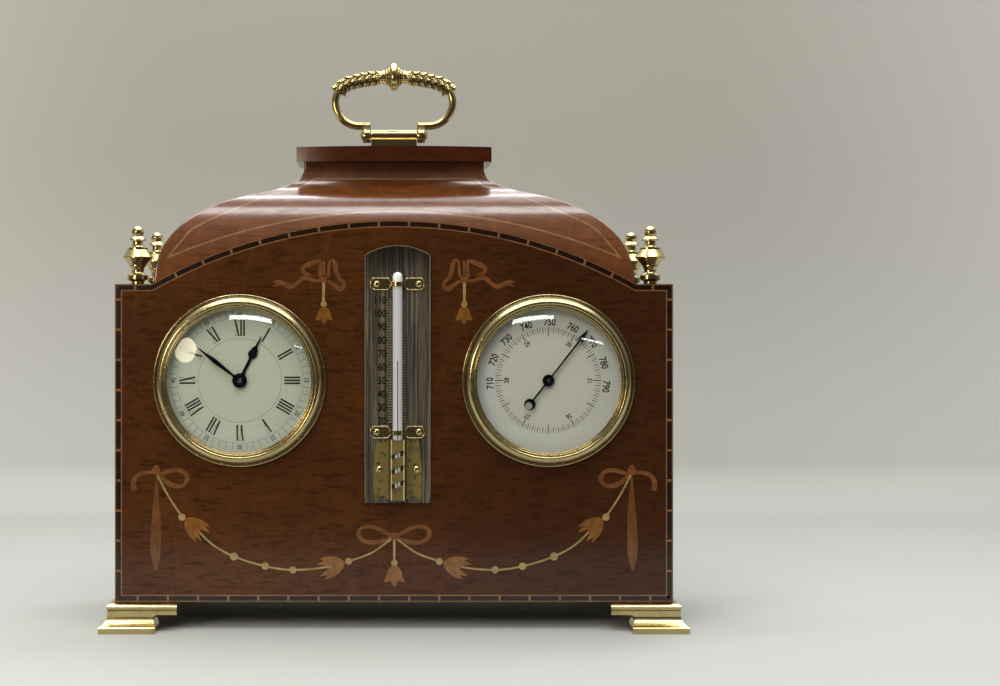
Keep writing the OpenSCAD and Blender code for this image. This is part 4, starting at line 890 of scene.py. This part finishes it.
def figureShape(text):
    # The text's points and faces with its middle at 0 and its height 1
    if text not in figureShapes:
        curve = bpy.data.curves.new("figure", "FONT")
        curve.body, curve.extrude, curve.resolution_u, curve.offset = text, 0.5, 4, 0.022
        holder = bpy.data.objects.new("figure", curve)
        mesh = bpy.data.meshes.new_from_object(holder)
        shape = bmesh.new()
        shape.from_mesh(mesh)
        bmesh.ops.remove_doubles(shape, verts=shape.verts, dist=1e-5)
        shape.verts.index_update()
        points = np.array([tuple(vert.co) for vert in shape.verts])
        faces = [[vert.index for vert in face.verts] for face in shape.faces]
        low, high = points.min(axis=0), points.max(axis=0)
        figureShapes[text] = (points - (low + high) / 2) / (high[1] - low[1], high[1] - low[1], 1), faces
        shape.free()
        bpy.data.objects.remove(holder)
        bpy.data.curves.remove(curve)
        bpy.data.meshes.remove(mesh)
    return figureShapes[text]


def figures(name, items, finish, face):
    # Each item is a text, the place of its middle, its height, its turn in degrees clockwise and how
    # wide it is set; it stands up from a face that looks forward.
    parts = []
    for text, (right, up), height, turn, wide in items:
        points, faces = figureShape(text)
        x, z, deep = (points * (height * wide, height, printed["figureThick"])).T
        c, n = math.cos(math.radians(turn)), math.sin(math.radians(turn))
        parts.append((spread(right + x * c + z * n, face - deep, up - x * n + z * c) * mm, faces))
    return makePiece(name, parts, finish, sharpAbove=0, onBody="root")


def spun(items, centre, degrees):
    # Strokes turned clockwise about the origin, then moved to the centre
    c, n = math.cos(math.radians(degrees)), math.sin(math.radians(degrees))
    turn = np.array([[c, -n], [n, c]])
    return [(np.asarray(line, float) @ turn + centre, width) for line, width in items]


def onDial(centre, radius, degrees):
    # A place on a dial: degrees run clockwise from the top
    angle = math.radians(degrees)
    return centre[0] + radius * math.sin(angle), centre[1] + radius * math.cos(angle)


def circleLine(centre, radius, width):
    return arcRun(centre, radius, 90, -270, 121), width


def dialOf(box):
    # The middle (right, up) of a dial's box and how far forward its face is
    return middleAndHalf(box)[0][[0, 2]], box[0].y / mm


clockInk = {
    "numerals": ["XII", "I", "II", "III", "IIII", "V", "VI", "VII", "VIII", "IX", "X", "XI"],
    "numeralRadius": 20.4,
    "numeralHeight": 6.0,
    "advance": {"I": 1.14, "V": 2.0, "X": 2.1},
    "thick": 0.66,
    "thin": 0.14,
    "serif": 1.0,
    "circle": (16.3, 0.13),
    "track": (24.4, 0.1),
    "tick": (24.4, 27.3, 0.16),
    "minutes": {"radius": 25.9, "height": 2.0, "wide": 0.8},
}


# Strokes are (from, to, weight) and then the ends that have a serif, in shares of half the letter's size:
# I is one thick stroke; V and X pair a thick stroke with a hairline.
letters = {
    "I": ([((0, -1), (0, 1), "thick")], [(0, 1), (0, -1)]),
    "V": ([((-0.64, 1), (0, -1), "thick"), ((0.64, 1), (0, -1), "thin")], [(-0.64, 1), (0.64, 1)]),
    "X": ([((-0.64, 1), (0.64, -1), "thick"), ((0.64, 1), (-0.64, -1), "thin")],
          [(-0.64, 1), (0.64, 1), (-0.64, -1), (0.64, -1)]),
}


def romanStrokes(text):
    # The letters side by side about the origin, and a hairline across each end that has a serif
    advance, serif = clockInk["advance"], np.array([(-0.5, 0), (0.5, 0)]) * clockInk["serif"]
    strokes, serifs, x = [], [], -sum(advance[letter] for letter in text) / 2
    for letter in text:
        half = np.array([advance[letter], clockInk["numeralHeight"]]) / 2
        middle, (runs, ends) = (x + half[0], 0), letters[letter]
        strokes += [(np.array(run) * half + middle, clockInk[weight]) for *run, weight in runs]
        serifs += [(np.array(end) * half + middle + serif, clockInk["thin"]) for end in ends]
        x += advance[letter]
    return strokes + serifs


def makeClockInk():
    centre, face = dialOf(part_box("clock_dial"))
    lines = [circleLine(centre, *clockInk["circle"]), circleLine(centre, *clockInk["track"])]
    low, high, width = clockInk["tick"]
    for minute in range(60):
        if minute % 5:
            lines += spun([([(0, low), (0, high)], width)], centre, minute * 6)
    slips("clockTrack", lines, "fineInk", face, printed["proud"], printed["deep"])
    strokes = []
    for hour, text in enumerate(clockInk["numerals"]):
        middle = onDial(centre, clockInk["numeralRadius"], hour * 30)
        strokes += spun(romanStrokes(text), middle, hour * 30)
    slips("hourNumerals", strokes, "ink", face, printed["proud"], printed["deep"])
    small = clockInk["minutes"]
    figures("minuteNumbers", [(str(minute), onDial(centre, small["radius"], minute * 6), small["height"],
                               minute * 6, small["wide"]) for minute in range(5, 61, 5)], "fineInk", face)


# Ticks are (degrees apart, inner radius, width), the longest first; numbers are (values, how many of them
# make an inch of mercury, radius, height, how wide they are set).
barometerInk = {
    "outer": 20.7,
    "ticks": [(30, 17.4, 0.34), (6, 18.5, 0.24), (3, 18.9, 0.16)],
    "numbers": [(range(26, 32), 1, 16.2, 1.9, 0.85), (range(710, 800, 10), 25.4, 22.7, 2.9, 0.8)],
    "inchZero": (28, 270),
    "degreesPerInch": 60,
}


def makeBarometerInk():
    # Ticks every twentieth of an inch of mercury, inch numbers inside them and millimetres outside
    centre, face = dialOf(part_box("barometer_dial"))
    ink, lines, marks = barometerInk, [], []
    for step in range(0, 360, ink["ticks"][-1][0]):
        inner, width = next((inner, width) for apart, inner, width in ink["ticks"] if step % apart == 0)
        lines += spun([([(0, inner), (0, ink["outer"])], width)], centre, step)
    slips("pressureTicks", lines, "ink", face, printed["proud"], printed["deep"])
    inch, start = ink["inchZero"]
    for values, perInch, radius, height, wide in ink["numbers"]:
        for value in values:
            place = start + (value / perInch - inch) * ink["degreesPerInch"]
            marks += [(str(value), onDial(centre, radius, place), height, place, wide)]
    figures("pressureNumbers", marks, "ink", face)


# Places are (right, up) from the scale plate's middle and from the table; the two edge lines, an engraved
# line and a painted rim highlight, are given as how far they lie inside the plate's edge and their width.
thermometerInk = {
    "tens": range(20, 111, 10),
    "twenty": 81.5,
    "perTen": 5.21,
    "numberRight": -4.5,
    "numberHeight": 3.1,
    "numberWide": 0.78,
    "ladders": [(-3.7, -2.0), (2.1, 3.3)],
    "longTick": -4.4,
    "rung": 0.3,
    "rail": 0.14,
    "rise": 3.8,
    "foot": 2,
    "deep": 0.1,
    "ladderProud": 0.01,
    "rungProud": 0.04,
    "plateEdgeLine": (1.5, 0.14),
    "plateRimLine": (0.18, 0.3),
}


def makeThermometerInk():
    # Numbers to the left of the tube, and a ladder of two-degree rungs on each side of it
    low, high = corners(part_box("scale_plate"))
    middle, face, ink = (low[0] + high[0]) / 2, low[1], thermometerInk
    first, apart = ink["twenty"], ink["perTen"] / 5
    rungs = np.arange(first - apart, first + ink["perTen"] * 9.3, apart)
    lines, ground, marks = [], [], []
    for inner, outer in ink["ladders"]:
        lines += [([(middle + inner, up), (middle + outer, up)], ink["rung"]) for up in rungs]
        lines += [([(middle + x, rungs[0]), (middle + x, rungs[-1])], ink["rail"]) for x in (inner, outer)]
        centre = middle + (inner + outer) / 2
        ground += [([(centre, rungs[0]), (centre, rungs[-1])], outer - inner)]
    for index, value in enumerate(ink["tens"]):
        up, height, wide = first + index * ink["perTen"], ink["numberHeight"], ink["numberWide"]
        lines += [([(middle + ink["longTick"], up), (middle + ink["ladders"][0][0], up)], ink["rung"])]
        half = figureShape(str(value))[0][:, 0].max() * height * wide
        marks += [(str(value), (middle + ink["numberRight"] - half, up), height, 0, wide)]
    slips("thermometerLadders", ground, "ladder", face, ink["ladderProud"], ink["deep"])
    slips("thermometerTicks", lines, "scaleInk", face, ink["rungProud"], ink["deep"])
    figures("thermometerNumbers", marks, "scaleInk", face)
    # Lines inside the plate's edge, an engraved line and a painted highlight along the rim: the arched top of
    # radius (half^2 + rise^2) / (2 rise), and the sides
    half, rise = (high[0] - low[0]) / 2, ink["rise"]
    radius = (half ** 2 + rise ** 2) / (2 * rise)
    for name, finish in (("plateEdgeLine", "scaleInk"), ("plateRimLine", "ladder")):
        inset, width = ink[name]
        turn = math.degrees(math.asin((half - inset) / (radius - inset)))
        arch = arcRun((middle, high[2] - radius), radius - inset, 90 + turn, 90 - turn, 41)
        left, right = ([(arch[k, 0], low[2] + ink["foot"])] for k in (0, -1))
        line = np.concatenate([left, arch, right])
        slips(name, [(line, width)], finish, face, printed["proud"], ink["deep"])


# The domed glasses: flatter in the middle and steeper to the rim than a part of a ball. Each starts a hair
# off its axis, where a small face closes it.
dome = {
    "power": 3.0,
    "thick": 1.2,
    "rise": 3.1,
    "start": 0.004,
    "steps": 40,
}


def turned(profile, centre, steps=96):
    # A profile of (out, forward) turned about an axis that looks forward: x = out cos a, z = -out sin a
    out, forward = np.asarray(profile, float).T[:, :, None]
    turn = fullTurn(steps)
    points = spread(centre[0] + out * np.cos(turn), -forward, centre[1] - out * np.sin(turn))
    return gridPart(points * mm, closeV=True, capped=True)


def makeDomes():
    # The face stands forward by rise (1 - (out / edge)^power); the back follows it one thickness lower
    for side in ("clock", "barometer"):
        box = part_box(side + "_glass")
        (low, high), (middle, half) = corners(box), middleAndHalf(box)
        out = half[0] * np.linspace(dome["start"], 1, dome["steps"])
        face = -low[1] - dome["rise"] * (out / half[0]) ** dome["power"]
        back = np.maximum(face - dome["thick"], -high[1])
        profile = np.concatenate([spread(out, face), spread(out, back)[::-1]])
        piece = makePiece(side + "Dome", [turned(profile, middle[[0, 2]])], "dome_glass", 40, "root")
        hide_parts(side + "_glass")


# The pale round end of the arbor in the middle of the minute hand; its depths count from the hand's face.
hubPin = {
    "radius": 0.95,
    "rise": 0.5,
    "sunk": 0.1,
    "foot": 0.3,
    "hole": 0.05,
}


def makeHubPin():
    # A bow of radius sin a and height rise cos a, down to a flat foot
    front, bow = -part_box("minute_hand")[0].y / mm, np.linspace(0.05, math.pi / 2, 9)
    profile = spread(hubPin["radius"] * np.sin(bow), front - hubPin["sunk"] + hubPin["rise"] * np.cos(bow))
    foot = front - hubPin["foot"]
    profile = np.concatenate([profile, [(hubPin["radius"], foot), (hubPin["hole"], foot)]])
    centre = dialOf(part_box("clock_dial"))[0]
    makePiece("hubPin", [turned(profile, centre, 40)], "steel", 40, "minute")


makeDomes()
makeHubPin()
makeCaddy()
makeClockInk()
makeBarometerInk()
makeThermometerInk()
print("caddy and lettering made")


# The bail: half its centre line as arcs (middle, radius, from, to, with 90 degrees upwards), and the knob's
# profile as (along the crown, radius). Depths and radii are in millimetres; hollows gather dirt.
pivotUp = middleAndHalf(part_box("handle_pivots"))[0][2]
bail = {
    "crown": ((0, 24.1 - 68), 68, 90, 74.65),
    "bend": ((24.1 - 8.3, 13.67), 8.3, 74.65, 0),
    "side": ((24.1 - 9.77, 13.67), 9.77, 0, -90),
    "armEnd": 9.9,
    "armRadius": (1.62, 1.5),
    "sheathRadius": 2.5,
    "start": 3.0,
    "rings": 560,
    "around": 96,
    "lug": {"inner": 9.5, "outer": 12.8, "radius": 3.0, "top": (1.6, 5.4)},
    "lugEase": 0.25,
    "knob": [(4.9, 2.3), (4.7, 2.75), (4.2, 2.8), (3.75, 2.7), (3.5, 2.45), (3.3, 2.75), (3.1, 3.2),
             (2.75, 3.3), (2.55, 3.0), (2.4, 3.6), (2.15, 4.1), (1.85, 4.15), (1.6, 3.75), (1.5, 4.5),
             (1.25, 5.25), (0.8, 5.62), (0, 5.78)],
    "grooves": (1.62, 2.58, 3.5),
    "grooveHalf": 0.14,
}

# The leaves that sheathe its upper arms. Ribs and seams are (height, half width in shares of a leaf), the
# flare of the last tips is (height, how far before the end, half length), and dirt lies where the relief is
# lower than the second number of hollow.
leaves = {
    "around": 6,
    "pitch": 3.0,
    "depth": 0.75,
    "start": 5.2,
    "end": 25.1,
    "gather": 2.0,
    "fade": 0.5,
    "slant": 1.3,
    "power": 0.8,
    "taper": 1.1,
    "vein": 0.22,
    "veins": 3.5,
    "veinSlant": 1.5,
    "rib": (0.3, 0.06),
    "seam": (0.35, 0.05),
    "flare": (0.8, 0.8, 1.1),
    "hollow": (1.4, 0.72),
}


def bailLine():
    # Half the centre line, from the crown's middle out, down and in to the lug
    runs = [arcRun(*bail["crown"], 90), arcRun(*bail["bend"], 60)[1:], arcRun(*bail["side"], 50)[1:]]
    return np.concatenate(runs + [[(bail["armEnd"], runs[-1][-1, 1])]])


def bump(value, middle, half):
    # A bell curve: exp(-((value - middle) / half)^2)
    return np.exp(-((value - middle) / half) ** 2)


def leafRelief(far, turn):
    # Overlapping leaves, as a height from about -0.5 to 1. Across: t = |fraction of turn * leaves - 1/2|,
    # 0 on a leaf's rib. Along: row = distance / pitch + slant * t, plus a half step on every second leaf. The
    # height grows with the fraction of the row, falls off beside the rib and is cut by three veins a side.
    (rib, ribHalf), (seam, seamHalf) = leaves["rib"], leaves["seam"]
    share = turn / (2 * math.pi) * leaves["around"]
    beside = np.abs(share % 1 - 0.5)
    row = (far / leaves["pitch"] + leaves["slant"] * beside + 0.5 * (np.floor(share) % 2)) % 1
    veins = np.cos(2 * math.pi * leaves["veins"] * (row - leaves["veinSlant"] * beside))
    veins = leaves["vein"] * veins * np.sin(math.pi * row) * (beside > seamHalf)
    ribs = rib * bump(beside, 0, ribHalf) - seam * bump(beside, 0.5, seamHalf)
    return row ** leaves["power"] * (1 - leaves["taper"] * beside) + veins + ribs


def bailArm(side):
    # Rings across the centre line: radius = plain + sheath * (share of the leafed stretch) + relief
    half = bailLine()
    even = np.linspace(bail["start"], distances(half)[-1], bail["rings"])
    line = pointsAt(half, even)
    run = np.gradient(line, axis=0)
    run /= np.linalg.norm(run, axis=1, keepdims=True)
    angle, far, end = fullTurn(bail["around"]), even[:, None], leaves["end"]
    plain = np.interp(far, (end, even[-1]), bail["armRadius"])
    leafed = np.clip((end - far) / leaves["fade"], 0, 1)
    gather = np.clip((far - leaves["start"]) / leaves["gather"], 0, 1)
    relief, (flare, before, length) = leafRelief(far, angle), leaves["flare"]
    tips = flare * bump(far, end - before, length) * np.cos(angle) ** 4
    sheath = bail["sheathRadius"] + leaves["depth"] * relief * gather + tips
    radius = plain + (sheath - plain) * leafed
    gain, shallow = leaves["hollow"]
    hollow = np.clip(gain * (shallow - relief), 0, 1) * gather * leafed
    outward = radius * np.cos(angle)
    x, z = line[:, :1] - run[:, 1:] * outward, line[:, 1:] + run[:, :1] * outward
    points = spread(side * x, radius * np.sin(angle), z + pivotUp) * mm
    if side < 0:
        points, hollow = points[:, ::-1], hollow[:, ::-1]
    return gridPart(points, closeV=True, capped=True), hollow


def bailKnob():
    # The knob is turned about the crown's run: one profile on both sides of its middle
    half = np.array(bail["knob"])
    x, r = through(np.concatenate([half * (-1, 1), half[-2::-1]]), 4).T[:, :, None]
    turn, crown = fullTurn(bail["around"]), bail["crown"][0][1] + bail["crown"][1]
    points = spread(x, r * np.sin(turn), pivotUp + crown + r * np.cos(turn)) * mm
    hollow = sum(bump(np.abs(x), groove, bail["grooveHalf"]) for groove in bail["grooves"]) + 0 * turn
    return gridPart(points[:, ::-1], closeV=True, capped=True), hollow


def bailLug(side):
    # The lug's outline is a round eye that narrows up to the arm; rings along X ease its edges
    lug, ease = bail["lug"], bail["lugEase"]
    half, top = lug["top"]
    eye, neck = arcRun((0, 0), lug["radius"], 150, 390, 41), arcRun((0, top - half), half, 0, 180, 21)
    shape = np.concatenate([eye, neck])
    x = np.array([lug["inner"], lug["inner"] + ease, lug["outer"] - ease, lug["outer"]])[:, None]
    eased = 1 - np.array([ease, 0, 0, ease])[:, None] / lug["radius"]
    points = spread(side * x, shape[:, 0] * eased, shape[:, 1] * eased + pivotUp) * mm
    part = gridPart(points if side < 0 else points[:, ::-1], closeV=True, capped=True)
    return part, np.zeros(points.shape[:2])


def makeBail():
    parts, hollows = zip(*[make(side) for make in (bailArm, bailLug) for side in (-1, 1)], bailKnob())
    piece = makePiece("bail", parts, "carved_brass", sharpAbove=50, onBody="bail")
    dirtAndPaintedShade = piece.data.attributes.new("hollow", "FLOAT", "POINT")
    dirtAndPaintedShade.data.foreach_set("value", np.concatenate([hollow.ravel() for hollow in hollows]))
    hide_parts("bail_handle")


makeBail()
print("bail made")


# Bezels: the ring's section as (in from the opening, forward from the board), beads as (middle, radius,
# from, to) in degrees.
bezel = {
    "opening": 27.9,
    "innerBead": ((0.34, 2.95), 0.34, 180, 20),
    "secondBead": ((1.0, 3.6), 0.36, 200, 0),
    "groove": (1.42, 3.45),
    "band": [(1.5, 3.9), (1.95, 4.95), (3.7, 4.35), (4.85, 1.75)],
    "outerGroove": (4.93, 1.35),
    "outerBead": ((5.25, 0.95), 0.4, 130, -30),
    "edge": 0.6,
    "seat": (0.7, 2.2),
    "steps": 192,
}


def makeBezels():
    for side in ("clock", "barometer"):
        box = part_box(side + "_bezel")
        high, (middle, half) = corners(box)[1], middleAndHalf(box)
        wide, seat = half[0] - bezel["opening"], bezel["seat"]
        section = np.concatenate([
            [(0, seat[1])], arcRun(*bezel["innerBead"], 10), arcRun(*bezel["secondBead"], 12),
            [bezel["groove"]], bezier(bezel["band"], 28), [bezel["outerGroove"]],
            arcRun(*bezel["outerBead"], 12), [(wide, bezel["edge"]), (wide, 0), (seat[0], 0), seat]])
        section[:, 0] = np.minimum(section[:, 0], wide) + bezel["opening"]
        (out, forward), turn = section.T[:, :, None], fullTurn(bezel["steps"])
        points = spread(middle[0] + out * np.cos(turn), high[1] - forward, middle[2] - out * np.sin(turn))
        ring = gridPart(points * mm, closeV=True, closeU=True)
        piece = makePiece(side + "Bezel", [ring], "bezel_brass", 33, "root")
        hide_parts(side + "_bezel")


# The raised rims of the tube clips: cut-cornered loops of wire round both lobes of each clip
clipRims = {
    "middle": 6.5,
    "halfWidth": 3.8,
    "halfHeight": 2.25,
    "corner": (2.65, 1.1),
    "wire": 0.2,
    "face": 1.5,
    "sides": 10,
}


def makeClipRims():
    # A loop's eight corners move out and in with cos a, and forward with sin a, by the wire's radius
    rim, box = clipRims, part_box("tube_clips")
    (low, high), middle = corners(box), middleAndHalf(box)[0][0]
    u, v = rim["corner"]
    quarter = np.array([(rim["halfWidth"], v), (u, rim["halfHeight"])])
    loop = np.concatenate([quarter, quarter[::-1] * (-1, 1), -quarter, quarter[::-1] * (1, -1)])
    turn, reach = fullTurn(rim["sides"]), rim["halfHeight"] + rim["wire"]
    grow = 1 + rim["wire"] * np.cos(turn) / rim["halfHeight"]
    y = board["face"] - rim["face"] - rim["wire"] * np.sin(turn)
    parts = []
    for up in (low[2] + reach, high[2] - reach):
        for side in (-1, 1):
            points = spread(middle + side * rim["middle"] + loop[:, :1] * grow, y, up + loop[:, 1:] * grow)
            parts.append(gridPart(points * mm, closeV=True, closeU=True))
    makePiece("clipRims", parts, "brass", onBody="root")


makeBezels()
makeClipRims()
print("bezels and clip rims made")


# Nodes whose finish isn't the one of their slot: boards whose grain runs back, and the worn guards, whose
# finish also paints a highlight and shade along the raised channel
special = {"left_side": "mahogany_side", "right_side": "mahogany_side", "top_slab": "mahogany_slab",
           "guard_plate": "aged_brass", "bulb_guard": "aged_brass"}


def dressNodes():
    slots = {part["node"]: part["material_slot"] for part in frame["record"]["subparts"]}
    for name, piece in nodes.items():
        piece.data.materials.clear()
        piece.data.materials.append(finishes[special.get(name, slots[name])])


def aimLamps():
    # A lamp with "only" lights the pieces whose names end so, and nothing else
    for name, lamp in lamps.items():
        if "only" in lamp:
            lit = bpy.data.collections.new(name + "Lit")
            for piece in list(bpy.context.scene.objects):
                if piece.name.endswith(lamp["only"]):
                    lit.objects.link(piece)
            bpy.data.objects[name].light_linking.receiver_collection = lit


dressNodes()
aimLamps()
print("all pieces in place")
